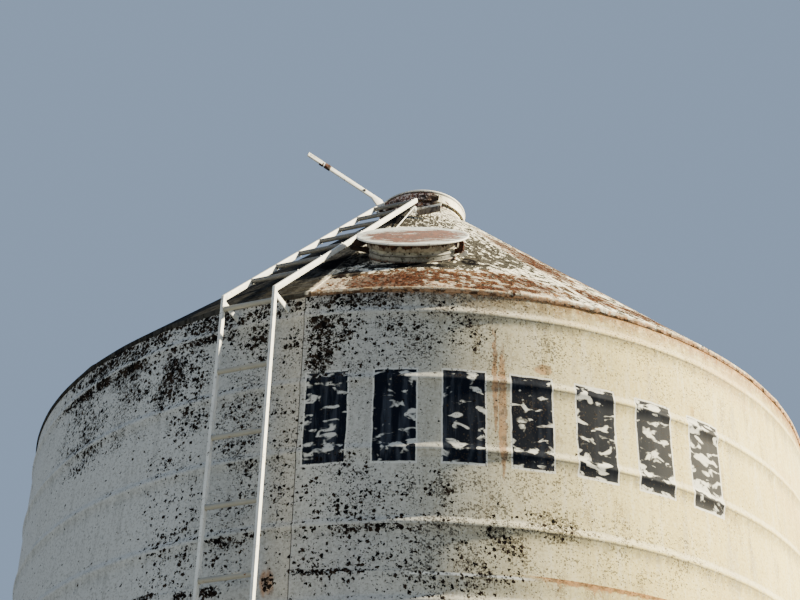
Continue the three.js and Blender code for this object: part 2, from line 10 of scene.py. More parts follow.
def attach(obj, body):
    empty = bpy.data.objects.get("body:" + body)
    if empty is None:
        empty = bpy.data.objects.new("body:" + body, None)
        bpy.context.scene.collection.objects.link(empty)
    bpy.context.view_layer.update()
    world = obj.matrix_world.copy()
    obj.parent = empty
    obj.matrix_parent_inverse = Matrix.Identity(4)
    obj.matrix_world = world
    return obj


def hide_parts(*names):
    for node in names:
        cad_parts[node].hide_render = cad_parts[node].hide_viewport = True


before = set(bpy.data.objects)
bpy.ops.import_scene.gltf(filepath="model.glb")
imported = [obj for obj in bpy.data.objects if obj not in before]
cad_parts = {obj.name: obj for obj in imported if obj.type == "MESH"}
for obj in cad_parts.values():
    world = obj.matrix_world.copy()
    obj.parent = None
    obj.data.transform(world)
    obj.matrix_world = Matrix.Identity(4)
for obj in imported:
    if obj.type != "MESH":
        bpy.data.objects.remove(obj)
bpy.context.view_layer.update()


# The view. A pale concrete floor, one soft sun-like studio lamp from the right and a pale sky-like fill.
# The camera stands about seven metres in front of the silo at eye height and looks steeply up at the eave,
# as the photograph does, so the lower half of the wall runs out of the picture.
EAVE_Z = 4.8
EAVE_RADIUS = 1.848
ROOF_RISE = 1.810
CAMERA_BACK = 7.0896
CAMERA_UNDER_EAVE = 3.4909
CAMERA_PITCH, CAMERA_HEADING, CAMERA_ROLL = 33.188, 0.886, 1.272
LENS_IN_PIXELS, PICTURE_WIDTH, FILM_WIDTH = 1609.3, 800, 36.0
LAMP_AZIMUTH, LAMP_ELEVATION, LAMP_SPREAD = 92.0, 35.5, 1.6
LAMP_POWER, LAMP_COLOUR = 24.0, (1.0, 0.90, 0.64)
FILL_POWER, FILL_COLOUR = 0.57, (0.48, 0.64, 0.90, 1.0)
FLOOR_RADIUS, FLOOR_SIDES, FLOOR_DROP = 90, 48, 0.001


def aimed_camera():
    pitch, heading, roll = (math.radians(a) for a in (CAMERA_PITCH, CAMERA_HEADING, CAMERA_ROLL))
    ahead = Vector((-math.sin(heading) * math.cos(pitch), math.cos(heading) * math.cos(pitch),
                    math.sin(pitch)))
    level = ahead.cross(Vector((0, 0, 1))).normalized()
    upright = level.cross(ahead)
    right = level * math.cos(roll) + upright * math.sin(roll)
    up = upright * math.cos(roll) - level * math.sin(roll)
    place = Matrix((right, up, -ahead)).transposed().to_4x4()
    place.translation = Vector((0, -CAMERA_BACK, EAVE_Z - CAMERA_UNDER_EAVE))
    data = bpy.data.cameras.new("camera")
    data.sensor_width = FILM_WIDTH
    data.lens = LENS_IN_PIXELS / PICTURE_WIDTH * FILM_WIDTH
    data.clip_end = 400
    camera = bpy.data.objects.new("camera", data)
    camera.matrix_world = place
    bpy.context.scene.collection.objects.link(camera)
    bpy.context.scene.camera = camera


def studio_lamp():
    azimuth, elevation = math.radians(LAMP_AZIMUTH), math.radians(LAMP_ELEVATION)
    towards = Vector((math.sin(azimuth) * math.cos(elevation), -math.cos(azimuth) * math.cos(elevation),
                      math.sin(elevation)))
    data = bpy.data.lights.new("studio_lamp", "SUN")
    data.energy = LAMP_POWER
    data.angle = math.radians(LAMP_SPREAD)
    data.color = LAMP_COLOUR
    lamp = bpy.data.objects.new("studio_lamp", data)
    lamp.rotation_euler = towards.to_track_quat("Z", "Y").to_euler()
    bpy.context.scene.collection.objects.link(lamp)


def pale_surround():
    world = bpy.data.worlds.new("studio")
    world.use_nodes = True
    fill = world.node_tree.nodes["Background"]
    fill.inputs["Color"].default_value = FILL_COLOUR
    fill.inputs["Strength"].default_value = FILL_POWER
    bpy.context.scene.world = world


class Field:
    """A number, colour or point that varies over a surface. Sums with it become nodes of its finish."""

    def __init__(self, finish, socket):
        self.finish, self.socket = finish, socket

    def math(self, operation, first, second=0.0):
        return self.finish.field("ShaderNodeMath", {0: first, 1: second}, operation=operation)

    def __add__(self, other):
        return self.math("ADD", self, other)

    def __sub__(self, other):
        return self.math("SUBTRACT", self, other)

    def __rsub__(self, other):
        return self.math("SUBTRACT", other, self)

    def __mul__(self, other):
        return self.math("MULTIPLY", self, other)

    def __mod__(self, other):
        return self.math("FLOORED_MODULO", self, other)

    def __abs__(self):
        return self.math("ABSOLUTE", self)

    def step(self, start, end, low=0.0, high=1.0):
        """Low up to the start and high from the end, with a smooth way between; start may lie above end."""
        return self.finish.field("ShaderNodeMapRange", {0: self, 1: start, 2: end, 3: low, 4: high},
                                 interpolation_type="SMOOTHSTEP")

    def window(self, rise, full, fade, end):
        """1 between full and fade, 0 before rise and after end."""
        return self.step(rise, full) * self.step(fade, end, 1.0, 0.0)


class Finish:
    """The node tree of one finish, put together in plain steps."""

    def __init__(self, name):
        self.material = bpy.data.materials.new(name)
        self.material.use_nodes = True
        self.tree = self.material.node_tree
        self.tree.nodes.clear()
        self.place = self.field("ShaderNodeTexCoord", output="Object")

    def node(self, kind, inputs=None, **settings):
        made = self.tree.nodes.new(kind)
        for key, value in settings.items():
            setattr(made, key, value)
        for key, value in (inputs or {}).items():
            socket = made.inputs[key]
            if isinstance(value, Field):
                self.tree.links.new(value.socket, socket)
            elif socket.type == "RGBA":
                socket.default_value = (*value, 1.0)
            else:
                socket.default_value = value
        return made

    def field(self, kind, inputs=None, output=0, **settings):
        return Field(self, self.node(kind, inputs, **settings).outputs[output])

    def vector(self, operation, *inputs):
        """A sum of points; a length or a dot product comes out as a number."""
        output = 1 if operation in ("LENGTH", "DOT_PRODUCT") else 0
        return self.field("ShaderNodeVectorMath", dict(enumerate(inputs)), output, operation=operation)

    def stretched(self, *scale):
        return self.vector("MULTIPLY", self.place, scale)

    def joined(self, x, y, z=0.0):
        return self.field("ShaderNodeCombineXYZ", {0: x, 1: y, 2: z})

    def split(self, point=None):
        parts = self.node("ShaderNodeSeparateXYZ", {0: point or self.place}).outputs
        return [Field(self, part) for part in parts]

    def noise(self, scale, detail=2.0, rough=0.5, where=None, bend=0.0):
        return self.field("ShaderNodeTexNoise", {
            "Vector": where or self.place, "Scale": scale, "Detail": detail, "Roughness": rough,
            "Distortion": bend})

    def round_axis(self):
        """Azimuth in degrees from the front, distance from the axis and drop below the eave."""
        x, y, z = self.split()
        flat = self.vector("LENGTH", self.stretched(1.0, 1.0, 0.0))
        return x.math("ARCTAN2", x, y * -1.0) * (180 / math.pi), flat, EAVE_Z - z

    def patches(self, plane, spots):
        """Ovals on a two-number plane: each one's middle, its reach both ways and its thickness."""
        ovals = []
        for x, y, wide, tall, thick in spots:
            scale, shift = (1 / wide, 1 / tall, 0.0), (-x / wide, -y / tall, 0.0)
            away = self.vector("LENGTH", self.vector("MULTIPLY_ADD", plane, scale, shift))
            ovals.append(away.step(0.35, 1.0, 1.0, 0.0) * thick)
        return most(*ovals)

    def dots(self, scale, grown):
        """Rounded spots of growth: more and larger ones as it nears 1, joined into patches above it."""
        sway = self.field("ShaderNodeTexNoise", {"Vector": self.place, "Scale": scale * 1.9, "Detail": 2.0},
                          "Color")
        swayed = self.vector("MULTIPLY_ADD", sway, (1.25 / scale,) * 3, self.place)
        cells = self.node("ShaderNodeTexVoronoi", {"Vector": swayed, "Scale": scale}).outputs
        luck = self.field("ShaderNodeSeparateColor", {0: Field(self, cells["Color"])})
        spare = grown - luck
        size = spare.step(0.0, 0.02) * spare.step(-0.10, 0.80, 0.30, 0.70)
        return (Field(self, cells["Distance"]) - size).step(0.0, -0.09)

    def surface(self, colour, rough, height, depth, metal=0.0, gloss=0.35):
        bump = self.field("ShaderNodeBump", {"Height": height, "Distance": depth})
        shader = self.field("ShaderNodeBsdfPrincipled", {
            "Base Color": colour, "Roughness": rough, "Metallic": metal, "Specular IOR Level": gloss,
            "Normal": bump})
        self.node("ShaderNodeOutputMaterial", {0: shader})
        return self.material


def mix(mask, base, over):
    return mask.finish.field("ShaderNodeMix", {0: mask, 6: base, 7: over}, 2, data_type="RGBA")


def most(first, *others):
    for other in others:
        first = first.math("MAXIMUM", first, other)
    return first


def shown(name, mesh, finish, smooth_to=35):
    """Puts a mesh in the scene with its finish, shaded smooth up to an angle."""
    piece = bpy.data.objects.new(name, mesh)
    bpy.context.scene.collection.objects.link(piece)
    piece.data.materials.clear()
    piece.data.materials.append(finish)
    piece.data.polygons.foreach_set("use_smooth", [True] * len(piece.data.polygons))
    piece.data.set_sharp_from_angle(angle=math.radians(smooth_to))
    return piece


def circle(radius, count):
    turns = np.linspace(0, 2 * math.pi, count, endpoint=False)
    return [(radius * math.cos(t), radius * math.sin(t)) for t in turns]


def floor_finish():
    floor = Finish("pale_floor")
    cloud = floor.noise(0.6, 4.0)
    grain = floor.noise(60.0, 3.0)
    colour = mix(cloud * grain, (0.140, 0.155, 0.175), (0.118, 0.131, 0.148))
    return floor.surface(colour, 0.85, grain, 0.001)


def studio_floor():
    mesh = bpy.data.meshes.new("floor")
    rim = [(x, y, -FLOOR_DROP) for x, y in circle(FLOOR_RADIUS, FLOOR_SIDES)]
    mesh.from_pydata(rim, [], [tuple(range(FLOOR_SIDES))])
    floor = shown("studio_floor", mesh, floor_finish())


aimed_camera()
studio_lamp()
pale_surround()
studio_floor()


# Wall. Four courses of three curved sheets, 2 mm steel with four pressed ribs each, lapped at the seams and
# painted cream long ago. Dark lichen grows on the shaded side, rust runs from the eave and the laps, and a
# row of plain dark paint blocks has flaked on the top course.
WALL_RADIUS = 1.831
COURSE_HEIGHT = 1.2
COURSES = 4
WALL_SEAM = -14.3
SHEET_SPREAD = 120
SHEET_THICKNESS = 0.002
RIB_PITCH = 0.300
FIRST_RIB_DROP = 0.104
RIB_HEIGHT = 0.008
RIB_CREST, RIB_UPPER, RIB_UNDER = 0.003, 0.032, 0.045
RIB_ROWS = (0.034, 0.029, 0.023, 0.017, 0.011, 0.006, 0.003, -0.001, -0.004, -0.009, -0.015, -0.022, -0.030,
            -0.038, -0.047, -0.100, -0.165, -0.225)
SIDE_LAP, SIDE_LAP_EASE, SIDE_LAP_RAISE = 0.025, 0.075, 0.0024
TOP_LAP, TOP_LAP_EASE, TOP_LAP_RAISE = 0.012, 0.050, 0.0048
TOP_TUCK, COURSE_LAP = 0.008, 0.020
SHEET_STEP = 1.5
BUCKLE = 0.0009
DOOR_AZIMUTH = 45.7
DOOR_WIDTH, DOOR_HEIGHT, DOOR_SILL = 0.450, 0.500, 0.150
OPENING_GAP, OPENING_DEPTH = 0.001, 0.3


def eased(value, start, end):
    t = np.clip((value - start) / (end - start), 0, 1)
    return t * t * (3 - 2 * t)


def rib_bulge(z):
    under = np.mod(EAVE_Z - FIRST_RIB_DROP - z, RIB_PITCH)
    over = RIB_PITCH - under
    below = (1 - np.clip((under - RIB_CREST / 2) / (RIB_UNDER - RIB_CREST / 2), 0, 1)) ** 1.8
    return RIB_HEIGHT * np.maximum(below, 1 - eased(over, RIB_CREST, RIB_UPPER))


def buckled(azimuth, z):
    """Slow, uneven waves in the sheet, in step all round the silo."""
    draw = random.Random(7)
    wave = np.zeros(np.broadcast(azimuth, z).shape)
    for turns, rise in ((5, 1.1), (9, 2.3), (14, 0.7), (23, 3.1), (31, 1.7), (44, 0.5)):
        wave = (wave + math.sqrt(9 / turns)
                * np.sin(np.radians(azimuth) * turns + z * rise + draw.uniform(0, 2 * math.pi))
                * np.cos(z * rise * 1.7 + draw.uniform(0, 2 * math.pi)))
    return BUCKLE * wave


def round_points(azimuth, radius, z):
    turn = np.radians(azimuth)
    return np.stack(np.broadcast_arrays(radius * np.sin(turn), -radius * np.cos(turn), z), axis=-1)


def sheet_mesh(name, outer, inner):
    """A closed thin sheet between two grids of points."""
    rows, columns = outer.shape[:2]
    points = np.concatenate([outer.reshape(-1, 3), inner.reshape(-1, 3)])
    back = rows * columns
    faces = []
    for row in range(rows - 1):
        for column in range(columns - 1):
            first = row * columns + column
            face = (first, first + 1, first + columns + 1, first + columns)
            faces.append(face)
            faces.append(tuple(back + corner for corner in reversed(face)))
    rim = list(range(columns)) + [r * columns + columns - 1 for r in range(1, rows)]
    rim += [(rows - 1) * columns + c for c in range(columns - 2, -1, -1)] + [
        r * columns for r in range(rows - 2, 0, -1)]
    for this, after in zip(rim, rim[1:] + rim[:1]):
        faces.append((after, this, back + this, back + after))
    mesh = bpy.data.meshes.new(name)
    mesh.from_pydata(points.tolist(), [], faces)
    return outward(mesh)


def outward(mesh):
    work = bmesh.new()
    work.from_mesh(mesh)
    bmesh.ops.remove_doubles(work, verts=work.verts, dist=1e-6)
    bmesh.ops.recalc_face_normals(work, faces=work.faces)
    work.to_mesh(mesh)
    work.free()
    return mesh


def wall_rows(foot, top, course_top):
    rows = [foot, top, course_top - TOP_LAP_EASE - TOP_LAP, course_top - TOP_LAP, foot + 0.04]
    for rib in range(4):
        crest = course_top - FIRST_RIB_DROP - rib * RIB_PITCH
        rows += [crest + step for step in RIB_ROWS]
    rows += [course_top - 0.04]
    return np.array(sorted({round(z, 5) for z in rows if foot <= z <= top}))


def wall_sheet(course, letter, start):
    course_top = course * COURSE_HEIGHT
    highest = course == COURSES
    foot = course_top - COURSE_HEIGHT - (COURSE_LAP if course > 1 else 0)
    top = course_top + (TOP_TUCK if highest else TOP_LAP)
    lap = math.degrees(SIDE_LAP / WALL_RADIUS)
    ease = math.degrees(SIDE_LAP_EASE / WALL_RADIUS)
    azimuth = np.unique(np.concatenate([np.arange(start, start + SHEET_SPREAD + 0.01, SHEET_STEP),
                                        [start + lap * 0.5, start + lap, start + ease,
                                         start + SHEET_SPREAD + lap]]))
    z = wall_rows(foot, top, course_top)[:, None]
    raised = SIDE_LAP_RAISE * (1 - eased(azimuth - start, lap, ease))
    if not highest:
        raised = raised + TOP_LAP_RAISE * eased(z, course_top - TOP_LAP_EASE, course_top - TOP_LAP)
    calm = 1 - eased(z, EAVE_Z - 0.06, EAVE_Z - 0.015)
    radius = WALL_RADIUS + rib_bulge(z) + raised + buckled(azimuth, z) * calm
    return sheet_mesh(f"wall_{course}{letter}", round_points(azimuth, radius, z),
                      round_points(azimuth, radius - SHEET_THICKNESS, z))


def door_opening(mesh):
    """Cuts the clean-out opening through a sheet."""
    half_width, half_height = DOOR_WIDTH / 2 + OPENING_GAP, DOOR_HEIGHT / 2 + OPENING_GAP
    tool = bpy.data.meshes.new("opening")
    work = bmesh.new()
    bmesh.ops.create_cube(work, size=1.0)
    bmesh.ops.scale(work, vec=(half_width * 2, OPENING_DEPTH, half_height * 2), verts=work.verts)
    bmesh.ops.translate(work, vec=(0, -WALL_RADIUS, DOOR_SILL + DOOR_HEIGHT / 2), verts=work.verts)
    bmesh.ops.rotate(work, matrix=Matrix.Rotation(math.radians(DOOR_AZIMUTH), 3, "Z"), verts=work.verts)
    work.to_mesh(tool)
    work.free()
    return cut_out(mesh, tool)


def cut_out(mesh, tool):
    sheet = bpy.data.objects.new("cutting", mesh)
    cutter = bpy.data.objects.new("cutter", tool)
    for part in (sheet, cutter):
        bpy.context.scene.collection.objects.link(part)
    modifier = sheet.modifiers.new("cut", "BOOLEAN")
    modifier.operation = "DIFFERENCE"
    modifier.solver = "EXACT"
    modifier.object = cutter
    result = settled(sheet, mesh.name)
    bpy.data.objects.remove(cutter)
    return result


def settled(part, name):
    """The mesh that an object comes to with its modifiers, in place of the object."""
    bpy.context.view_layer.update()
    mesh = bpy.data.meshes.new_from_object(part.evaluated_get(bpy.context.evaluated_depsgraph_get()))
    mesh.name = name
    bpy.data.objects.remove(part)
    return mesh


# Lichen on the wall: azimuth and drop of each patch's middle, its reach both ways, and how thick it grows
WALL_LICHEN = ((-44, 0.025, 20, 0.120, 1.00), (-24, 0.025, 17, 0.120, 0.98), (-9, 0.030, 8, 0.110, 0.85),
               (-46, 0.122, 18, 0.045, 1.15), (-27, 0.120, 14, 0.040, 0.95), (-45, 0.15, 18, 0.14, 0.55),
               (-50, 0.28, 10, 0.24, 0.52), (-48, 0.44, 10, 0.10, 0.56), (-34, 0.13, 8, 0.13, 0.80),
               (-31.5, 0.27, 6.5, 0.24, 0.90), (-29, 0.46, 6, 0.14, 0.60), (-39, 0.20, 9, 0.16, 0.52),
               (-31, 0.70, 7, 0.26, 0.36), (-30, 1.00, 7, 0.28, 0.46), (-22, 0.12, 5, 0.20, 0.72),
               (-20.5, 0.20, 3.0, 0.18, 0.72), (-21.5, 0.50, 7, 0.30, 0.44), (-20.5, 0.70, 4, 0.13, 0.55),
               (-21.0, 1.02, 6, 0.040, 1.05), (-22, 1.00, 6, 0.28, 0.50), (-15.8, 0.12, 2.6, 0.24, 0.62),
               (-16, 0.62, 3.0, 0.60, 0.36), (-12.2, 0.19, 2.8, 0.32, 1.05), (-9.5, 0.12, 5.0, 0.20, 0.72),
               (-8, 0.26, 8, 0.24, 0.44), (-3, 0.10, 7, 0.20, 0.45), (2.0, 0.16, 8, 0.22, 0.38),
               (6.6, 0.21, 1.4, 0.10, 0.66), (-9, 0.86, 8, 0.22, 0.46), (-7, 1.02, 12, 0.032, 0.80),
               (-8, 1.08, 12, 0.26, 0.48), (-10, 1.185, 8, 0.022, 0.95), (0, 0.92, 9, 0.20, 0.40),
               (9.5, 1.07, 4.0, 0.17, 0.56), (9.5, 1.18, 3.2, 0.08, 0.60), (3, 1.20, 12, 0.22, 0.42),
               (15, 0.98, 7, 0.09, 0.40), (-24.5, 1.215, 3.4, 0.034, 1.10), (-33, 1.185, 3.0, 0.022, 1.10),
               (-28, 1.21, 1.6, 0.034, 1.0), (-16.8, 1.21, 1.6, 0.05, 1.0), (-13, 1.60, 18, 0.30, 0.34),
               (12, 1.55, 14, 0.20, 0.32))
WALL_SPECKS = ((6, 0.20, 20, 0.34, 0.56), (10, 0.92, 20, 0.34, 0.80), (6, 0.05, 18, 0.10, 0.70),
               (16, 0.24, 4, 0.20, 0.80), (-8, 0.50, 12, 0.55, 0.34), (-20, 0.60, 8, 0.70, 0.46),
               (-40, 0.30, 22, 0.34, 0.50), (28, 0.18, 22, 0.26, 0.50), (24, 1.00, 22, 0.26, 0.68),
               (36, 0.60, 16, 0.60, 0.30), (8, 1.12, 14, 0.24, 0.72), (14, 0.60, 14, 0.40, 0.42))
WALL_RUST_SPOTS = ((9.0, 0.40, 0.50, 0.34, 1.00), (9.9, 0.52, 0.75, 0.42, 1.15),
                   (14.6, 0.57, 2.2, 0.16, 1.00), (15.0, 0.32, 1.8, 0.040, 0.95),
                   (12.0, 0.18, 1.8, 0.035, 0.45), (14.9, 0.86, 0.35, 0.15, 0.55),
                   (22.6, 0.69, 2.2, 0.10, 0.35), (36.4, 0.33, 0.7, 0.05, 0.60),
                   (20, 0.46, 1.8, 0.045, 0.45), (18.3, 0.40, 0.5, 0.10, 0.40),
                   (-17.0, 1.21, 1.3, 0.09, 0.75), (43, 0.12, 5.0, 0.05, 0.30))
BLOCK_START, BLOCK_PITCH, BLOCK_WIDTH, BLOCK_COUNT = -14.0, 8.18, 5.35, 7
BLOCK_TOP, BLOCK_FOOT = 0.362, 0.755


def piece(name, mesh, finish, body, slot, *nodes, smooth_to=35):
    """Shows a mesh as a piece of the silo, on its body, in place of the nodes that it stands for."""
    made = shown(name, mesh, finish, smooth_to)
    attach(made, body)
    if nodes:
        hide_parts(*nodes)


def wall_finish():
    wall = Finish("wall_paint")
    azimuth, _, drop = wall.round_axis()
    plane = wall.joined(azimuth, drop)
    streaks = wall.noise(30.0, 4.0, 0.6, wall.stretched(1.0, 1.0, 0.10))
    clouds = wall.noise(2.6, 3.0)
    fine = wall.noise(38.0, 3.0, 0.62)
    clumps = wall.noise(9.0, 3.0, 0.6)
    grit = wall.noise(230.0, 2.0)
    under = (drop - FIRST_RIB_DROP) % RIB_PITCH

    # old paint: cream towards the sun and grey on the shaded side, partly bleaching and partly painted
    # sunlight and painted shade; streaked by rain
    sunlit_and_bleached = most(azimuth.step(-8.0, 34.0), 0.0)
    sunlit_and_bleached = sunlit_and_bleached * azimuth.step(176.0, 130.0)
    grey = mix(clouds.step(0.35, 0.65), (0.495, 0.490, 0.465), (0.425, 0.422, 0.405))
    bleached = azimuth.step(-23.0, -31.0)
    grey = mix(bleached * 0.85, grey, (0.580, 0.575, 0.555))
    cream = mix(clouds.step(0.35, 0.65), (0.870, 0.725, 0.300), (0.740, 0.600, 0.225))
    cream = mix(azimuth.step(50.0, 90.0), cream, (0.760, 0.690, 0.480))
    colour = mix(sunlit_and_bleached, grey, cream)
    dull = streaks.step(0.50, 0.70) * sunlit_and_bleached.step(0.0, 1.0, 0.35, 0.55)
    colour = mix(dull, colour, mix(sunlit_and_bleached, (0.31, 0.30, 0.28), (0.52, 0.45, 0.31)))
    colour = mix(streaks.step(0.48, 0.30) * 0.35, colour,
                 mix(sunlit_and_bleached, (0.55, 0.545, 0.52), (0.86, 0.81, 0.66)))
    by_seam = azimuth.window(-18.2, -16.6, -14.42, -14.30) * 0.55
    colour = mix(by_seam, colour, (0.50, 0.455, 0.375))
    # painted highlight: a pale band on each rib's upper slope, paler on the sunlit side
    rib_top_highlight = under.window(0.262, 0.272, 0.294, 0.299)
    colour = mix(rib_top_highlight * 0.30, colour, mix(sunlit_and_bleached, (0.56, 0.56, 0.54), (0.86, 0.84, 0.76)))

    scratches = wall.noise(16.0, 5.0, 0.75, wall.stretched(1.0, 1.0, 0.22))
    scored = scratches.step(0.54, 0.66) * azimuth.window(-4.0, 8.0, 48.0, 75.0) * grit.step(0.40, 0.56)
    colour = mix(scored * 0.75, colour, (0.215, 0.150, 0.075))

    # warm stain below the eave, and painted shade under each rib, broken up like grime
    stain = azimuth.window(-6.0, 6.0, 70.0, 110.0) * drop.step(0.16, 0.0) * clumps.step(0.30, 0.70)
    colour = mix(stain * 0.70, colour, (0.50, 0.30, 0.11))
    glow = azimuth.window(14.0, 24.0, 66.0, 110.0) * (drop - streaks * 0.070).step(0.034, -0.030)
    colour = mix(glow * 0.85, colour, (0.44, 0.165, 0.032))
    ochre = wall.patches(plane,
                         ((47, 0.10, 14, 0.12, 1.0), (26, 0.05, 12, 0.08, 0.8), (62, 0.45, 14, 0.30, 0.6)))
    colour = mix(ochre * clumps.step(0.35, 0.60) * 0.55, colour, (0.72, 0.50, 0.22))
    # painted shade: a dark line just under each rib's crest and a band below it, brown and strong on the
    # sunlit side, grey and faint elsewhere
    rim_line = under.window(0.0015, 0.004, 0.008, 0.012)
    rib_underside_shade = under.window(0.001, 0.010, 0.024, 0.075) * streaks.step(0.30, 0.62)
    rib_shade_sunny_side = azimuth.window(-6.0, 6.0, 30.0, 80.0)
    colour = mix(most(rib_underside_shade * 0.45, rim_line * 0.80) * rib_shade_sunny_side, colour, (0.215, 0.185, 0.135))
    colour = mix(rib_underside_shade * (1 - rib_shade_sunny_side) * 0.30, colour, (0.20, 0.20, 0.19))

    sooty = (drop.step(0.110, 0.0) * (fine + streaks * 0.5).step(0.56, 0.80)
             * azimuth.window(-18.0, -10.0, 70.0, 110.0))
    colour = mix(sooty * 0.85, colour, mix(sunlit_and_bleached, (0.070, 0.055, 0.040), (0.20, 0.125, 0.055)))

    grain = wall.noise(95.0, 3.0, 0.70)
    colour = mix(grain.step(0.50, 0.64) * 0.55, colour,
                 mix(sunlit_and_bleached, (0.235, 0.225, 0.205), (0.46, 0.365, 0.20)))
    colour = mix(grain.step(0.48, 0.36) * 0.40, colour, mix(sunlit_and_bleached, (0.60, 0.60, 0.585), (0.88, 0.81, 0.60)))

    # rust: from the eave, along the laps and down a few runs; a dark line along each seam is painted shade
    # of the lap edge
    lap = (drop + COURSE_LAP) % COURSE_HEIGHT
    low_lap = (drop.step(0.50, 0.60)
               * most(azimuth.window(11.0, 15.0, 75.0, 120.0), azimuth.step(-150.0, -170.0) * 0.8))
    at_eave = drop.step(0.60, 0.50) * most(azimuth.window(-8.0, -2.0, 62.0, 140.0), 0.12)
    run_length = wall.noise(24.0, 2.0, 0.6, wall.stretched(1.0, 1.0, 0.05)).step(0.46, 0.80) * 0.085
    run = (lap - run_length).step(0.010, 0.024, 1.0, 0.0) * fine.step(0.35, 0.60)
    lap_line = lap.step(0.006, 0.014, 1.0, 0.0)
    edge_line = (lap - fine * 0.030).step(0.012, 0.030, 1.0, 0.0) * grit.step(0.36, 0.56)
    thick_lap = azimuth.window(11.0, 16.0, 34.0, 40.0) * (lap - fine * 0.040).step(0.006, -0.004)
    rust = low_lap * most(lap_line, run * 0.7, thick_lap)
    rust = most(rust, at_eave * most(edge_line, run * 0.55))
    spots = wall.patches(wall.joined(azimuth + (fine - 0.5) * 0.9, drop), WALL_RUST_SPOTS)
    rust_spots = (streaks * 0.55 + spots * 0.40).step(0.40, 0.62) * spots.step(0.02, 0.2)
    rust = most(rust, rust_spots * 0.80)
    colour = mix(rust * 0.85, colour,
                 mix(fine.step(0.40, 0.60), (0.120, 0.043, 0.016), (0.42, 0.200, 0.080)))
    lip = (lap.window(0.012, 0.015, 0.021, 0.025) * azimuth.window(-2.0, 0.0, 11.0, 14.0)
           * drop.step(0.5, 0.6))
    colour = mix(lip, colour, (0.86, 0.85, 0.80))
    # painted shade: a dark line along each vertical seam, where the lap edge faces away from the light
    seam = (azimuth - (WALL_SEAM + 60)) % SHEET_SPREAD
    seam_shade_line = seam.window(59.84, 59.90, 59.98, 60.03)
    colour = mix(seam_shade_line * 0.9, colour, (0.055, 0.045, 0.040))

    # the row of plain dark paint blocks, brushed on inside a pale line, rubbed and flaking on the ribs
    along = azimuth - BLOCK_START + (clumps - 0.5) * 0.45
    place = along % BLOCK_PITCH
    height = drop + (clumps - 0.5) * 0.016
    row_end = BLOCK_START + BLOCK_PITCH * BLOCK_COUNT - 1.9
    whole_row = azimuth.window(BLOCK_START - 1.0, BLOCK_START - 0.9, row_end, row_end + 0.1)
    line = (whole_row * place.window(0.17, 0.24, BLOCK_WIDTH + 0.22, BLOCK_WIDTH + 0.30)
            * height.window(BLOCK_TOP - 0.007, BLOCK_TOP - 0.004, BLOCK_FOOT + 0.006, BLOCK_FOOT + 0.009))
    block = (whole_row * place.window(0.36, 0.44, BLOCK_WIDTH + 0.04, BLOCK_WIDTH + 0.12)
             * height.window(BLOCK_TOP, BLOCK_TOP + 0.004, BLOCK_FOOT - 0.004, BLOCK_FOOT))
    rubbed = wall.noise(17.0, 2.0, 0.50, wall.stretched(1.0, 1.0, 1.7), bend=0.5)
    loose = rubbed + azimuth.step(6.0, 44.0) * 0.055
    loose = loose + under.window(0.255, 0.275, 0.290, 0.300) * 0.075
    loose = loose + (streaks - 0.5) * 0.12
    flaked = loose.step(0.575, 0.660)
    colour = mix(line * 0.85, colour, mix(sunlit_and_bleached, (0.62, 0.62, 0.60), (0.86, 0.85, 0.79)))
    navy = mix(azimuth.step(26.0, 44.0), (0.004, 0.006, 0.012), (0.022, 0.021, 0.022))
    navy = mix(streaks.step(0.46, 0.66, 0.0, 0.5) * azimuth.step(20.0, 0.0, 0.3, 1.0), navy,
               (0.060, 0.070, 0.095))
    colour = mix(block * (1 - flaked * 0.92), colour, navy)

    # lichen dots, thickest under the eave and the ribs of the shaded side, and dust specks between them
    back_growth = (most(azimuth.step(-66.0, -90.0), azimuth.step(128.0, 160.0) * 0.8)
                   * most(drop.step(0.30, 0.0), drop.step(2.2, 0.3) * 0.34))
    damp_foot = drop.step(4.1, 4.8) * 0.50
    everywhere = azimuth.step(4.0, 30.0, 0.075, 0.012)
    growth = most(wall.patches(plane, WALL_LICHEN), back_growth, damp_foot)
    growth = growth * clumps.step(0.28, 0.62, 0.45, 1.15) + everywhere
    crest = most(under.step(0.290, 0.296), under.step(0.006, 0.001))
    growth = growth * crest.step(0.0, 1.0, 1.0, 0.45)
    crust = (growth + (wall.noise(82.0, 2.0, 0.60) - 0.5) * 2.6).step(1.16, 1.26)
    dots = most(wall.dots(60.0, growth.math("MINIMUM", growth, 0.88)), wall.dots(112.0, growth * 0.55),
                crust)
    dusty = wall.patches(plane, WALL_SPECKS) + growth * 0.7
    specks = wall.dots(135.0, dusty * clumps.step(0.30, 0.60, 0.25, 0.95)) * 0.75
    colour = mix(specks, colour, mix(sunlit_and_bleached, (0.026, 0.022, 0.019), (0.055, 0.036, 0.020)))
    colour = mix(dots, colour, mix(fine.step(0.40, 0.62), (0.004, 0.0035, 0.0035), (0.026, 0.017, 0.012)))

    height = dots + specks * 0.5 + (grit * 0.18 + block * 0.3)
    rough = most(dots, rust).step(0.0, 1.0, 0.60, 0.95)
    return wall.surface(colour, rough, height, 0.0010, gloss=0.04)


wall_paint = wall_finish()
for course in range(1, COURSES + 1):
    for number, letter in enumerate("abc"):
        mesh = wall_sheet(course, letter, WALL_SEAM + number * SHEET_SPREAD)
        if course == 1 and letter == "a":
            mesh = door_opening(mesh)
        piece(f"wall_course_{course}_{letter}", mesh, wall_paint, "silo_body", "wall_paint",
              f"wall_course_{course}_sheet_{letter}")


# Floor plate and base angle. The wall stands on a rolled steel angle that is bolted to the ground, rusted
# brown all over; the steel floor lies inside it. Hexagon bolts hold the angle to the wall and down.
BASE_LEG, BASE_THICKNESS = 0.075, 0.006
BASE_INNER, BASE_OUTER = WALL_RADIUS + 0.0035, 1.9040
WALL_BOLTS, WALL_BOLT_HEIGHT = 36, 0.048
ANCHORS, ANCHOR_OUT = 12, 0.048
WASHER_THICKNESS = 0.0016


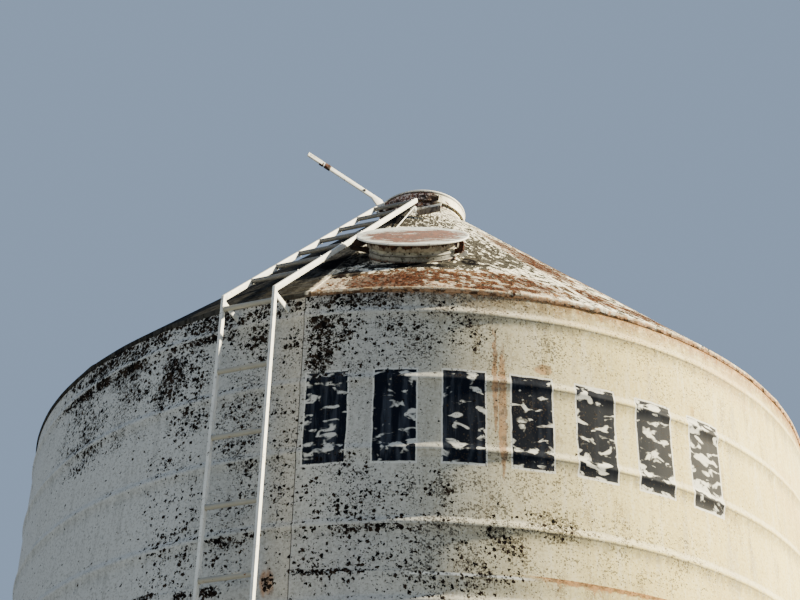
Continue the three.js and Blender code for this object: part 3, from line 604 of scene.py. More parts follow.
def turned(name, section, step=3.0):
    """A section of radius and height, a loop or a run from axis to axis, turned about the upright axis."""
    steps = max(3, round(360 / step))
    on_axis = section[0][0] < 1e-7 and section[-1][0] < 1e-7
    points, faces, rings = [], [], []
    for k in range(steps):
        angle = math.radians(360 * k / steps)
        ring = []
        for radius, z in section:
            if radius < 1e-7 and rings:
                ring.append(rings[0][len(ring)])
                continue
            ring.append(len(points))
            points.append((radius * math.sin(angle), -radius * math.cos(angle), z))
        rings.append(ring)
    spans = range(len(section) - 1) if on_axis else range(len(section))
    for this, after in zip(rings, rings[1:] + rings[:1]):
        for j in spans:
            k = (j + 1) % len(section)
            corners = [this[j], after[j], after[k], this[k]]
            corners = [c for i, c in enumerate(corners) if c not in corners[:i]]
            if len(corners) > 2:
                faces.append(corners)
    mesh = bpy.data.meshes.new(name)
    mesh.from_pydata(points, [], faces)
    return outward(mesh)


def softened(mesh, width, angle=30):
    """Rounds the sharp edges of a mesh."""
    part = bpy.data.objects.new("softening", mesh)
    bpy.context.scene.collection.objects.link(part)
    bevel = part.modifiers.new("edge", "BEVEL")
    bevel.width, bevel.segments, bevel.limit_method = width, 2, "ANGLE"
    bevel.angle_limit = math.radians(angle)
    bevel.use_clamp_overlap = True
    return settled(part, mesh.name)


def moved(mesh, matrix):
    mesh.transform(matrix)
    return mesh


def one_mesh(name, meshes):
    work = bmesh.new()
    for mesh in meshes:
        work.from_mesh(mesh)
    whole = bpy.data.meshes.new(name)
    work.to_mesh(whole)
    work.free()
    return whole


def standing(azimuth, out, z):
    """Where a thing stands at an azimuth: its own -Y points out, its Z stays up."""
    return Matrix.Rotation(math.radians(azimuth), 4, "Z") @ Matrix.Translation((0, -out, z))


def disc(radius, foot, top, slim=1.0):
    """The section of a round bar or head with its upper edge taken off."""
    return [(0, foot), (radius, foot), (radius, top - radius * 0.12 * slim), (radius * 0.88, top), (0, top)]


def bolt(across=0.016, head=0.008, washer=0.011, shank=0.0):
    """A hexagon head on a washer, its axis along +Z, with a little of the thread past it."""
    washer_section = [(0, 0), (washer, 0), (washer, WASHER_THICKNESS), (0, WASHER_THICKNESS)]
    head_section = disc(across / math.sqrt(3), WASHER_THICKNESS, WASHER_THICKNESS + head)
    parts = [turned("washer", washer_section, step=20), turned("head", head_section, step=60)]
    if shank:
        parts.append(turned("thread", disc(across * 0.30, head * 0.9, head + shank), step=30))
    return one_mesh("bolt", parts)


def bolts(name, places, **sizes):
    meshes = []
    for number, place in enumerate(places):
        twist = Matrix.Rotation(math.radians(37 * number % 60), 4, "Z")
        meshes.append(moved(bolt(**sizes), place @ twist))
    return one_mesh(name, meshes)


OUTWARD = Matrix(((-1, 0, 0, 0), (0, 0, -1, 0), (0, -1, 0, 0), (0, 0, 0, 1)))


def rust_finish(name, dark, middle, bright):
    """Rusted steel with a rough, scaly skin."""
    rusted = Finish(name)
    scale = rusted.noise(45.0, 5.0, 0.65)
    broad = rusted.noise(11.0, 3.0, 0.6)
    pits = rusted.noise(210.0, 2.0)
    colour = mix(scale.step(0.35, 0.62), dark, middle)
    colour = mix(broad.step(0.50, 0.72) * 0.8, colour, bright)
    return rusted.surface(colour, 0.85, scale * 0.7 + pits * 0.3, 0.0009)


rusted_angle = rust_finish("rusted_steel", (0.012, 0.007, 0.005), (0.034, 0.016, 0.010),
                           (0.075, 0.034, 0.017))
base_section = [(BASE_INNER, 0.0), (BASE_OUTER, 0.0), (BASE_OUTER, BASE_THICKNESS),
                (BASE_INNER + BASE_THICKNESS + 0.006, BASE_THICKNESS),
                (BASE_INNER + BASE_THICKNESS + 0.002, BASE_THICKNESS + 0.002),
                (BASE_INNER + BASE_THICKNESS, BASE_THICKNESS + 0.006),
                (BASE_INNER + BASE_THICKNESS, BASE_LEG), (BASE_INNER, BASE_LEG)]
piece("base_angle", softened(turned("base_angle", base_section, step=2), 0.0012), rusted_angle, "silo_body",
      "rusted_steel", "base_ring")
wall_bolt_places = [standing(WALL_SEAM + 5 + k * 360 / WALL_BOLTS, BASE_INNER + BASE_THICKNESS,
                             WALL_BOLT_HEIGHT) @ OUTWARD for k in range(WALL_BOLTS)]
anchor_places = [standing(WALL_SEAM + 15 + k * 360 / ANCHORS, WALL_RADIUS + ANCHOR_OUT, BASE_THICKNESS)
                 for k in range(ANCHORS)]
wall_bolts = bolts("wall_bolts", wall_bolt_places)
anchors = bolts("anchors", anchor_places, across=0.024, head=0.013, washer=0.018, shank=0.016)
piece("base_bolts", one_mesh("base_bolts", [wall_bolts, anchors]), rusted_angle, "silo_body",
      "rusted_steel")


def steel_finish(name, pale, dull):
    """Dull galvanised steel with a faint spangle and rust coming through."""
    steel = Finish(name)
    spangle = steel.field("ShaderNodeTexVoronoi", {"Vector": steel.place, "Scale": 70.0}, "Color")
    grey = steel.field("ShaderNodeSeparateColor", {0: spangle})
    cloud = steel.noise(7.0, 4.0)
    colour = mix(grey, dull, pale)
    rust = cloud.step(0.62, 0.70)
    colour = mix(rust, colour, (0.16, 0.075, 0.035))
    rough = rust.step(0.0, 1.0, 0.45, 0.85)
    metal = rust.step(0.0, 1.0, 0.75, 0.1)
    return steel.surface(colour, rough, cloud, 0.0008, metal=metal)


galvanised = steel_finish("galvanised_steel", (0.50, 0.51, 0.52), (0.38, 0.39, 0.40))
for node in ("floor_plate", "eave_ring"):
    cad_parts[node].data.materials.clear()
    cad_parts[node].data.materials.append(galvanised)


# Clean-out door. A welded box frame stands through the wall and carries a flat steel cover, held on by
# hexagon bolts round its edge and lifted off by two bent-rod handles. Both are painted like the wall and
# rusty at their edges.
DOOR_PROUD, DOOR_DEPTH, DOOR_PLATE = 0.050, 0.045, 0.004
DOOR_FLANGE = 0.030
COVER_LAP, COVER_THICKNESS, COVER_GAP, COVER_CORNER = 0.025, 0.006, 0.0003, 0.018
STIFFENER_LENGTH, STIFFENER_DEPTH, STIFFENER_HALF, STIFFENER_HEIGHTS = 0.320, 0.0125, 0.004, (-0.11, 0.11)
HANDLE_SIDES, HANDLE_GRIP, HANDLE_RADIUS = (-0.09, 0.09), 0.110, 0.005
HANDLE_REACH, HANDLE_FOOT, ROD_BEND = 0.036, 0.004, 0.012
BOLT_SIDE, BOLT_TOP, BOLT_STEP = 0.210, 0.235, 0.118
door_place = (Matrix.Rotation(math.radians(DOOR_AZIMUTH), 4, "Z")
              @ Matrix.Translation((0, -WALL_RADIUS, DOOR_SILL + DOOR_HEIGHT / 2)))


def block(name, low, high):
    work = bmesh.new()
    bmesh.ops.create_cube(work, size=1.0)
    size = [b - a for a, b in zip(low, high)]
    bmesh.ops.scale(work, vec=size, verts=work.verts)
    bmesh.ops.translate(work, vec=[(a + b) / 2 for a, b in zip(low, high)], verts=work.verts)
    mesh = bpy.data.meshes.new(name)
    work.to_mesh(mesh)
    work.free()
    return mesh


def door_frame():
    width, height = DOOR_WIDTH / 2, DOOR_HEIGHT / 2
    box = block("frame", (-width, -DOOR_PROUD, -height), (width, DOOR_DEPTH, height))
    inner = block("inner", (-width + DOOR_PLATE, -DOOR_PROUD + DOOR_PLATE, -height + DOOR_PLATE),
                  (width - DOOR_PLATE, DOOR_DEPTH + 0.01, height - DOOR_PLATE))
    mouth = block("mouth", (-width + DOOR_FLANGE, -DOOR_PROUD - 0.01, -height + DOOR_FLANGE),
                  (width - DOOR_FLANGE, DOOR_DEPTH, height - DOOR_FLANGE))
    return softened(cut_out(cut_out(box, inner), mouth), 0.0012)


def arc(centre, radius, first, last, count, flat=1.0):
    """Points on an arc between two angles; flat squeezes it sideways."""
    turns = [math.radians(first + (last - first) * k / (count - 1)) for k in range(count)]
    return [(centre[0] + radius * flat * math.cos(t), centre[1] + radius * math.sin(t)) for t in turns]


def rounded_plate(name, width, height, thickness, corner):
    """An upright plate with rounded corners in the XZ plane, its front at -thickness."""
    outline = []
    for x, z, first in ((1, 1, 0), (-1, 1, 90), (-1, -1, 180), (1, -1, 270)):
        outline += arc((x * (width / 2 - corner), z * (height / 2 - corner)), corner, first, first + 90, 7)
    count = len(outline)
    points = [(x, 0.0, z) for x, z in outline] + [(x, -thickness, z) for x, z in outline]
    faces = [tuple(range(count)), tuple(range(2 * count - 1, count - 1, -1))]
    faces += [(i, i + count, (i + 1) % count + count, (i + 1) % count) for i in range(count)]
    mesh = bpy.data.meshes.new(name)
    mesh.from_pydata(points, [], faces)
    return softened(outward(mesh), 0.0012, angle=50)


def rod(name, path, radius):
    """A round rod through points, its corners bent on a small radius."""
    points = [Vector(path[0])]
    for before, corner, after in zip(path, path[1:], path[2:]):
        before, corner, after = Vector(before), Vector(corner), Vector(after)
        start = corner + (before - corner).normalized() * min(ROD_BEND, (before - corner).length * 0.45)
        end = corner + (after - corner).normalized() * min(ROD_BEND, (after - corner).length * 0.45)
        for k in range(6):
            t = k / 5
            points.append(start * (1 - t) ** 2 + corner * 2 * t * (1 - t) + end * t * t)
    points.append(Vector(path[-1]))
    curve = round_curve(name, radius, 2)
    add_line(curve, points)
    return from_curve(name, curve)


def round_curve(name, radius, resolution):
    curve = bpy.data.curves.new(name, "CURVE")
    curve.dimensions, curve.use_fill_caps = "3D", True
    curve.bevel_depth, curve.bevel_resolution = radius, resolution
    return curve


def add_line(curve, points, closed=False):
    line = curve.splines.new("POLY")
    line.use_cyclic_u = closed
    line.points.add(len(points) - 1)
    for spot, point in zip(line.points, points):
        spot.co = (*point, 1.0)
    return line


def from_curve(name, curve):
    part = bpy.data.objects.new(name, curve)
    bpy.context.scene.collection.objects.link(part)
    return outward(settled(part, name))


def door_paint():
    """The wall's cream paint on flat plate, rusting in from the edges."""
    paint = Finish("door_paint")
    across, _, up = paint.split(paint.field("ShaderNodeVectorRotate", {
        "Vector": paint.place, "Axis": (0.0, 0.0, 1.0), "Angle": -math.radians(DOOR_AZIMUTH)}))
    side, up = abs(across), abs(up - (DOOR_SILL + DOOR_HEIGHT / 2))
    edge = most(side - DOOR_WIDTH / 2, up - DOOR_HEIGHT / 2)
    cloud = paint.noise(16.0, 4.0, 0.6)
    streaks = paint.noise(30.0, 4.0, 0.6, paint.stretched(1.0, 1.0, 0.12))
    flecks = paint.noise(60.0, 3.0)
    colour = mix(streaks.step(0.40, 0.70), (0.74, 0.640, 0.36), (0.50, 0.420, 0.24))
    rust = (cloud + edge.step(-0.035, 0.012) * 0.22).step(0.62, 0.68)
    rust = most(rust, streaks.step(0.60, 0.75) * 0.6)
    colour = mix(rust, colour, mix(flecks, (0.024, 0.010, 0.006), (0.080, 0.033, 0.015)))
    colour = mix(flecks.step(0.66, 0.69), colour, (0.03, 0.025, 0.02))
    return paint.surface(colour, rust.step(0.0, 1.0, 0.6, 0.9), flecks - rust, 0.0008)


door_cream = door_paint()
piece("cleanout_door_frame", moved(door_frame(), door_place), door_cream, "silo_body", "wall_paint",
      "cleanout_frame")
cover_mesh = rounded_plate("cover", DOOR_WIDTH + COVER_LAP, DOOR_HEIGHT + COVER_LAP, COVER_THICKNESS,
                           COVER_CORNER)
stiffeners = [block("rib", (-STIFFENER_LENGTH / 2, -STIFFENER_DEPTH, z - STIFFENER_HALF),
                    (STIFFENER_LENGTH / 2, 0.0, z + STIFFENER_HALF)) for z in STIFFENER_HEIGHTS]
stiffeners = [moved(softened(rib, 0.001), Matrix.Translation((0, -0.001, 0))) for rib in stiffeners]
handle_path = ((-HANDLE_FOOT, -HANDLE_GRIP / 2), (-HANDLE_REACH, -HANDLE_GRIP / 2),
               (-HANDLE_REACH, HANDLE_GRIP / 2), (-HANDLE_FOOT, HANDLE_GRIP / 2))
handles = [rod("handle", [(x, y, z) for y, z in handle_path], HANDLE_RADIUS) for x in HANDLE_SIDES]
cover_front = Matrix.Translation((0, -DOOR_PROUD - COVER_GAP, 0))
piece("cleanout_door_cover",
      moved(one_mesh("cover", [cover_mesh] + stiffeners + handles), door_place @ cover_front), door_cream,
      "silo_body", "wall_paint", "cleanout_cover")
bolt_spots = [(x * BOLT_SIDE, z) for x in (-1, -0.5, 0, 0.5, 1) for z in (-BOLT_TOP, BOLT_TOP)]
bolt_spots += [(x, z) for x in (-BOLT_SIDE, BOLT_SIDE) for z in (-BOLT_STEP, 0, BOLT_STEP)]
bolt_plane = -DOOR_PROUD - COVER_GAP - COVER_THICKNESS
cover_bolts = [door_place @ Matrix.Translation((x, bolt_plane, z)) @ OUTWARD for x, z in bolt_spots]
piece("cleanout_door_bolts", bolts("cover_bolts", cover_bolts, across=0.015, head=0.007, washer=0.010),
      rusted_angle, "silo_body", "rusted_steel")


# Roof. Ten flat sheets rolled onto a cone of 44 degrees, each lapped over the next one's edge, and turned
# down and in at the eave to hug the wall. The paint is lost under lichen, and a belt of brown rust lies
# along the eave; the shaded left side is painted nearly black, partly as black lichen and partly as painted
# shade.
ROOF_SHEETS = 10
ROOF_SPREAD = 360 / ROOF_SHEETS
ROOF_THICKNESS = 0.0022
ROOF_LAP, ROOF_LAP_EASE, ROOF_LAP_RAISE = 0.022, 0.080, 0.0026
ROOF_EDGE = 1.829
CRUMPLE_AZIMUTH, CRUMPLE_FOLDS = 22.6, (22.0, 22.35, 22.65, 22.95, 23.3, 23.65)
NECK_RADIUS = 0.2195
HATCH_AZIMUTH, HATCH_OUT = -1.64, 1.321
HATCH_NECK_RADIUS, BORE_GAP, BORE_REACH = 0.1885, 0.001, 0.12
SLOPE = math.atan2(ROOF_RISE, EAVE_RADIUS)
HEM = ((1.8350, 0.0127), (1.8366, 0.0108), (1.8372, 0.0082), (1.8370, 0.0050), (1.8360, 0.0010),
       (1.8347, -0.0040), (1.8338, -0.0080), (1.8330, -0.0092))
HEM_INNER = ((1.8338, 0.0106), (1.8346, 0.0096), (1.8351, 0.0078), (1.8349, 0.0052), (1.8340, 0.0016),
             (1.8327, -0.0038), (1.8317, -0.0076), (1.8314, -0.0090))


def roof_z(out):
    return EAVE_Z + ROOF_RISE * (1 - out / EAVE_RADIUS)


def roof_waves(azimuth, out):
    """Shallow dents and ripples, stronger near the eave, and a crumple by the seam right of the front."""
    draw = random.Random(19)
    wave = np.zeros(np.broadcast(azimuth, out).shape)
    for turns, reach in ((7, 2.1), (13, 3.7), (29, 1.3), (47, 5.2), (70, 2.9)):
        wave = (wave + math.sqrt(7 / turns)
                * np.sin(np.radians(azimuth) * turns + out * reach + draw.uniform(0, 2 * math.pi))
                * np.cos(out * reach * 1.3 + draw.uniform(0, 2 * math.pi)))
    near_eave = 0.35 + 0.65 * eased(out, 0.9, 1.8)
    crumple = np.exp(-((azimuth - CRUMPLE_AZIMUTH) / 1.3) ** 2) * eased(out, 1.66, 1.80)
    return 0.0012 * wave * near_eave + 0.006 * crumple * np.sin((azimuth - CRUMPLE_AZIMUTH) * 3.1)


def roof_sheet(number):
    start = WALL_SEAM + number * ROOF_SPREAD
    lap_edge = start + ROOF_SPREAD
    azimuth = np.unique(np.concatenate([np.arange(start, lap_edge + 0.01, 1.0),
                                        [lap_edge + 0.68, lap_edge + 0.60, lap_edge - 0.9, lap_edge - 1.7],
                                        CRUMPLE_FOLDS if number == 1 else ()]))
    out = np.concatenate([np.linspace(NECK_RADIUS + 0.0015, 1.70, 30),
                          np.linspace(1.73, ROOF_EDGE, 5)])[:, None]
    edge_angle = np.degrees(ROOF_LAP / np.maximum(out, 0.35))
    widened = (ROOF_SPREAD + np.minimum(edge_angle, 3.0)) / (azimuth[-1] - start)
    shape = start + (azimuth - start) * widened
    from_edge = np.radians(shape[:, -1:] - shape) * out
    raised = ROOF_LAP_RAISE * (1 - eased(from_edge, ROOF_LAP, ROOF_LAP_EASE))
    wave = roof_waves(shape, out)
    calm = 1 - eased(out, 1.79, ROOF_EDGE) * 0.5
    z = roof_z(out) + (raised + wave * calm) / math.cos(SLOPE)
    top = round_points(shape, out, z)
    under = round_points(shape, out, z - ROOF_THICKNESS / math.cos(SLOPE))
    hem_azimuth = shape[-1]
    hem_raise = raised[-1]
    ripple = roof_waves(hem_azimuth, np.array(ROOF_EDGE))
    wall_lap = SIDE_LAP_RAISE * (1 - eased(np.mod(hem_azimuth - WALL_SEAM, SHEET_SPREAD), 0.8, 2.4))
    outer, inner = [top], [under]
    for (r_out, z_out), (r_in, z_in) in zip(HEM, HEM_INNER):
        push = hem_raise * 0.9 + np.maximum(ripple, 0) * 0.4 + wall_lap
        drop = ripple * 0.9 + hem_raise * 0.3
        outer.append(round_points(hem_azimuth, r_out + push, EAVE_Z + z_out + drop)[None])
        inner.append(round_points(hem_azimuth, r_in + push, EAVE_Z + z_in + drop)[None])
    return sheet_mesh(f"roof_{number}", np.concatenate(outer), np.concatenate(inner))


hatch_place = (Matrix.Rotation(math.radians(HATCH_AZIMUTH), 4, "Z")
               @ Matrix.Translation((0, -HATCH_OUT, roof_z(HATCH_OUT))) @ Matrix.Rotation(SLOPE, 4, "X"))


def roof_finish():
    roof = Finish("roof_paint")
    azimuth, out, drop = roof.round_axis()
    up_slope = EAVE_RADIUS - out
    plane = roof.joined(azimuth, up_slope)
    grain = roof.joined(azimuth * 0.0215, up_slope * 0.58)
    mottle = roof.noise(33.0, 5.0, 0.70, grain, bend=0.25)
    flecks = roof.noise(54.0, 4.0, 0.70, grain)
    chips = roof.noise(110.0, 3.0, 0.65, grain)
    clouds = roof.noise(6.0, 3.0, 0.6)
    around = roof.noise(5.0, 4.0, 0.65, roof.joined(azimuth * 0.055, up_slope * 9.0))
    runs = roof.noise(2.0, 4.0, 0.65, roof.joined(azimuth * 0.55, up_slope * 1.1))

    # chalky pale paint, nearly half of it under dark lichen in specks and clumps
    colour = mix(flecks.step(0.42, 0.54), (0.300, 0.275, 0.225), (0.88, 0.835, 0.710))
    growth = roof.patches(plane, ((14, 0.70, 13, 0.50, 0.62), (-2, 1.26, 30, 0.28, 0.55),
                                  (4, 0.40, 14, 0.14, 0.66), (4, 0.20, 26, 0.30, 0.50),
                                  (30, 0.20, 14, 0.30, 0.48), (36, 0.80, 20, 0.80, 0.46)))
    growth = most(growth, azimuth.step(50.0, 130.0, 0.30, 0.52), 0.30)
    thick = growth * 0.30 + (clouds - 0.5) * 0.22
    lichen = (mottle + thick).step(0.608, 0.622)
    colour = mix(lichen * 0.94, colour,
                 mix(chips.step(0.4, 0.6), (0.002, 0.002, 0.002), (0.017, 0.014, 0.011)))

    # brown rust, solid in its middle and broken into specks at its edges, most of it along the eave
    belt = roof.patches(plane, ((-5, 0.10, 8, 0.16, 1.15), (3, 0.10, 20, 0.28, 0.62),
                                (13, 0.17, 11, 0.24, 0.62), (-11, 0.14, 5, 0.24, 0.55),
                                (27, 0.80, 7, 0.55, 0.80), (26, 0.22, 6, 0.18, 0.62),
                                (36, 0.16, 14, 0.14, 0.62), (44, 0.75, 14, 0.80, 0.66),
                                (66, 0.12, 30, 0.20, 0.60), (75, 0.70, 16, 0.60, 0.50)))
    belt = most(belt, azimuth.step(80.0, 110.0) * up_slope.step(0.34, 0.05) * 0.58)
    ragged = (flecks - 0.5) * 3.0 + (clouds - 0.5) * 0.9
    rust = (belt + ragged).step(0.44, 0.60)
    rust_colour = mix(chips.step(0.42, 0.60), (0.016, 0.008, 0.006), (0.092, 0.036, 0.020))
    colour = mix(rust * 0.93, colour, rust_colour)
    warm = belt.step(0.05, 0.6) * (1 - rust) * flecks.step(0.42, 0.52) * 0.6
    colour = mix(warm, colour, (0.40, 0.19, 0.075))

    # a pale line along the turned edge, rust brown under it, and at each lap a dark line and a pale line,
    # the pale one a painted highlight on the lap edge
    wear = roof.noise(42.0, 4.0, 0.65)
    wavy = drop + (wear - 0.5) * 0.030
    sun_side = azimuth.window(-15.0, -13.5, 120.0, 160.0)
    edge = wavy.window(-0.013, -0.010, -0.003, 0.000) * wear.step(0.36, 0.46) * sun_side
    colour = mix(edge * 0.85, colour, mix(wear.step(0.45, 0.60), (0.76, 0.64, 0.46), (0.50, 0.31, 0.16)))
    under_edge = wavy.step(-0.003, 0.000) * azimuth.window(-19.0, -13.5, 120.0, 160.0)
    colour = mix(under_edge * 0.90, colour, mix(wear.step(0.40, 0.58) * azimuth.step(-12.0, 14.0, 0.3, 1.0),
                                                (0.050, 0.028, 0.018), (0.50, 0.290, 0.160)))
    past_lap = (azimuth - (WALL_SEAM + ROOF_SPREAD / 2 + 0.5)) % ROOF_SPREAD
    lap_line = past_lap.window(17.72, 17.90, 18.05, 18.25)
    colour = mix(lap_line * mottle.step(0.35, 0.55) * 0.85, colour, (0.030, 0.024, 0.020))
    lap_edge_highlight = (past_lap.window(18.3, 18.6, 19.4, 19.9) * mottle.step(0.40, 0.50)
                 * up_slope.window(0.05, 0.12, 0.35, 0.60) * azimuth.window(18.0, 20.0, 28.0, 30.0))
    colour = mix(lap_edge_highlight * 0.85, colour, (0.80, 0.75, 0.63))

    # the shaded left side painted nearly black, partly black lichen and partly painted shade, smeared down
    # the slope;
    # black stains by the neck, and below and left of the hatch partly the hatch's painted shadow
    lichen_and_shade_side = most(azimuth.step(-13.9, -14.6) * azimuth.step(-170.0, -140.0),
                     azimuth.step(165.0, 178.0) * 0.7)
    # painted highlight: a pale line along the front seam's lap edge
    by_seam = (azimuth.window(-14.2, -14.0, -13.5, -13.0) * up_slope.window(0.02, 0.06, 0.22, 0.34)
               * wear.step(0.42, 0.50))
    colour = mix(by_seam * 0.9, colour, (0.70, 0.63, 0.50))
    # black stains by the neck; the patches below and left of the hatch are partly the hatch's painted
    # shadow
    stains_and_hatch_shadow = roof.patches(plane, ((-14, 0.50, 7, 0.20, 1.0), (-11.2, 0.25, 4.2, 0.11, 0.62),
                                  (-3, 0.345, 12, 0.045, 0.62), (-2, 0.372, 10, 0.030, 0.8),
                                  (8.5, 0.46, 2.4, 0.09, 0.8), (-17, 1.42, 11, 0.26, 1.1),
                                  (-12, 1.30, 5, 0.12, 0.8)))
    stains_and_hatch_shadow = (stains_and_hatch_shadow + (flecks - 0.5) * 1.8).step(0.36, 0.50)
    lichen_black_and_shade = mix(runs.step(0.35, 0.65), (0.005, 0.006, 0.008), (0.020, 0.021, 0.025))
    lichen_black_and_shade = mix(mottle.step(0.55, 0.62) * 0.55, lichen_black_and_shade, (0.042, 0.040, 0.036))
    near_front = azimuth.window(-32.0, -24.0, -14.9, -14.3) * up_slope.step(0.40, 0.22)
    lichen_black_and_shade = mix(near_front * around.step(0.44, 0.56) * 0.85, lichen_black_and_shade, (0.030, 0.026, 0.020))
    eave_left = up_slope.step(0.16, 0.03) * around.step(0.40, 0.60)
    lichen_black_and_shade = mix(eave_left * 0.6, lichen_black_and_shade, (0.028, 0.025, 0.019))
    colour = mix(lichen_and_shade_side * 0.96, colour, lichen_black_and_shade)
    colour = mix(stains_and_hatch_shadow * 0.92, colour, (0.005, 0.005, 0.006))
    height = lichen * 0.6 + (chips + rust) * 0.5
    return roof.surface(colour, 0.88, height, 0.0012, gloss=0.0)


roof_paint = roof_finish()
hatch_side = HATCH_NECK_RADIUS + BORE_GAP
hatch_bore = turned("hatch_bore", [(0, -BORE_REACH), (hatch_side, -BORE_REACH), (hatch_side, BORE_REACH),
                                   (0, BORE_REACH)], step=6)
for number in range(ROOF_SHEETS):
    mesh = roof_sheet(number)
    if number == 0:
        mesh = cut_out(mesh, moved(hatch_bore, hatch_place))
    piece(f"roof_sheet_{number + 1}", mesh, roof_paint, "silo_body", "roof_paint",
          f"roof_sheet_{number + 1:02d}")


# Filling neck. A short rolled collar of cream-painted plate at the roof's top, with a swaged bead below its
# rim, welded to the roof round its foot. Its front faces the weather and has lost most paint to rust.
NECK_TOP, NECK_BEAD = 1.672, 1.612
NECK_PLATE, NECK_DEPTH, SWAGE_HALF = 0.004, 0.030, 0.008
WELD_PITCH = 0.005


def collar_finish():
    """Cream paint on neck and lid, flaked to black and rust on the front left; painted shade under the
    lid's bead and lower edge, and the lid's top painted pale on the sunlit side, grey on the shaded side.
    """
    collar = Finish("collar_paint")
    azimuth, _, drop = collar.round_axis()
    height = drop * -1.0
    cloud = collar.noise(24.0, 4.0, 0.65)
    around = collar.noise(11.0, 4.0, 0.6, collar.stretched(1.0, 1.0, 4.0))
    streaks = collar.noise(42.0, 3.0, 0.6, collar.stretched(1.0, 1.0, 0.12))
    chips = collar.noise(130.0, 2.0)
    colour = mix(streaks.step(0.35, 0.70), (0.90, 0.86, 0.72), (0.72, 0.66, 0.50))
    front = azimuth.window(-100.0, -60.0, 12.0, 24.0) * height.step(1.692, 1.688)
    worn = front * 0.40 + height.step(1.630, 1.600) * 0.04
    bare = (cloud + worn).step(0.60, 0.64)
    rust = mix(around.step(0.38, 0.60), (0.022, 0.014, 0.013), (0.135, 0.052, 0.036))
    flaking = collar.noise(70.0, 3.0, 0.6, collar.stretched(1.0, 1.0, 1.6)) + (around - 0.5) * 0.35
    rust = mix(flaking.step(0.53, 0.57), rust, mix(chips, (0.66, 0.60, 0.56), (0.46, 0.34, 0.30)))
    colour = mix(bare, colour, rust)
    # painted shade: dark lines under the lid's bead and round the lid's lower edge, and a dark line at the
    # neck's foot
    lid_foot_shadow = height.window(1.622, 1.627, 1.633, 1.638)
    bead_shadow_line = height.window(1.6790, 1.6830, 1.6880, 1.6895)
    foot = height.step(1.606, 1.594)
    line = most(lid_foot_shadow * 0.85, bead_shadow_line * 0.95, foot * around.step(0.42, 0.55) * 0.7)
    colour = mix(line, colour, (0.035, 0.024, 0.018))
    drips = streaks.step(0.56, 0.70) * height.window(1.596, 1.600, 1.660, 1.690) * 0.45
    colour = mix(drips, colour, (0.36, 0.19, 0.09))
    # painted light: the lid's top and bead painted pale on the sunlit right and grey on the shaded left
    lid_top_lit_and_shaded = height.step(1.6885, 1.6900) * chips.step(0.66, 0.58)
    colour = mix(lid_top_lit_and_shaded, colour, mix(azimuth.step(-50.0, 10.0), (0.36, 0.35, 0.33), (0.86, 0.85, 0.80)))
    lichen = (collar.noise(75.0, 3.0) + front * 0.06).step(0.68, 0.71)
    colour = mix(lichen, colour, (0.03, 0.025, 0.02))
    return collar.surface(colour, bare.step(0.0, 1.0, 0.55, 0.9), (1 - bare) * 0.8 + chips * 0.3, 0.0010)


collar_paint = collar_finish()
neck_foot = roof_z(NECK_RADIUS) - NECK_DEPTH
neck_top = EAVE_Z + NECK_TOP
bead_z = EAVE_Z + NECK_BEAD
neck_section = [(NECK_RADIUS - NECK_PLATE, neck_foot), (NECK_RADIUS, neck_foot),
                (NECK_RADIUS, bead_z - SWAGE_HALF)]
neck_section += arc((NECK_RADIUS - 0.0005, bead_z), 0.006, -70, 70, 7, 0.75)
neck_section += [(NECK_RADIUS, bead_z + SWAGE_HALF), (NECK_RADIUS, neck_top - 0.001),
                 (NECK_RADIUS - 0.001, neck_top), (NECK_RADIUS - NECK_PLATE + 0.001, neck_top),
                 (NECK_RADIUS - NECK_PLATE, neck_top - 0.001),
                 (NECK_RADIUS - NECK_PLATE, bead_z + SWAGE_HALF)]
neck_section += arc((NECK_RADIUS - NECK_PLATE - 0.0005, bead_z), 0.0055, 70, -70, 7, 0.75)
neck_section += [(NECK_RADIUS - NECK_PLATE, bead_z - SWAGE_HALF)]
piece("filling_neck", turned("neck", neck_section, step=3), collar_paint, "silo_body", "wall_paint",
      "filling_neck")


def weld(name, path, size, closed=False, seed=3):
    """A rippled weld bead along a path."""
    draw = random.Random(seed)
    path = [Vector(p) for p in path]
    if closed:
        path.append(path[0])
    points = []
    for a, b in zip(path, path[1:]):
        steps = max(1, round((b - a).length / WELD_PITCH))
        points += [a + (b - a) * k / steps for k in range(steps)]
    points.append(path[-1])
    if closed:
        points.pop()
    curve = round_curve(name, size, 1)
    for number, spot in enumerate(add_line(curve, points, closed).points):
        spot.radius = 0.80 + 0.20 * (number % 2) + draw.uniform(-0.12, 0.12)
    return from_curve(name, curve)


neck_weld_path = [(y, -x, roof_z(NECK_RADIUS) + 0.001) for x, y in circle(NECK_RADIUS, 90)]
piece("neck_weld", weld("neck_weld", neck_weld_path, 0.005, closed=True), collar_paint, "silo_body",
      "wall_paint", smooth_to=60)


# Top lid. A spun steel cap with a rolled bead round its upper edge and a plain skirt, resting on the neck,
# painted cream; it tips up on the hinge at its left when the lever is pulled down.
LID_RADIUS, LID_TOP, LID_FOOT, LID_CROWN = 0.2316, 1.700, 1.632, 0.012
LID_PLATE = 0.003
lid_z = EAVE_Z + LID_TOP
lid_foot = EAVE_Z + LID_FOOT
crown = [(LID_RADIUS * k / 14, lid_z + LID_CROWN * (1 - (k / 14) ** 2)) for k in range(14)]
lid_section = [(0, crown[0][1] - LID_PLATE)] + [(r, z - LID_PLATE) for r, z in crown[1:13]]
lid_section += [(LID_RADIUS - LID_PLATE - 0.002, lid_z - 0.004), (LID_RADIUS - LID_PLATE, lid_z - 0.008),
                (LID_RADIUS - LID_PLATE, lid_foot), (LID_RADIUS - LID_PLATE * 0.5, lid_foot),
                (LID_RADIUS, lid_foot + 0.001), (LID_RADIUS, lid_z - 0.013)]
lid_section += arc((LID_RADIUS - 0.0030, lid_z - 0.0058), 0.0062, -55, 80, 8)
lid_section += crown[:0:-1] + [(0, crown[0][1])]
piece("top_lid", turned("lid", lid_section, step=3), collar_paint, "top_lid_body", "wall_paint", "top_lid")


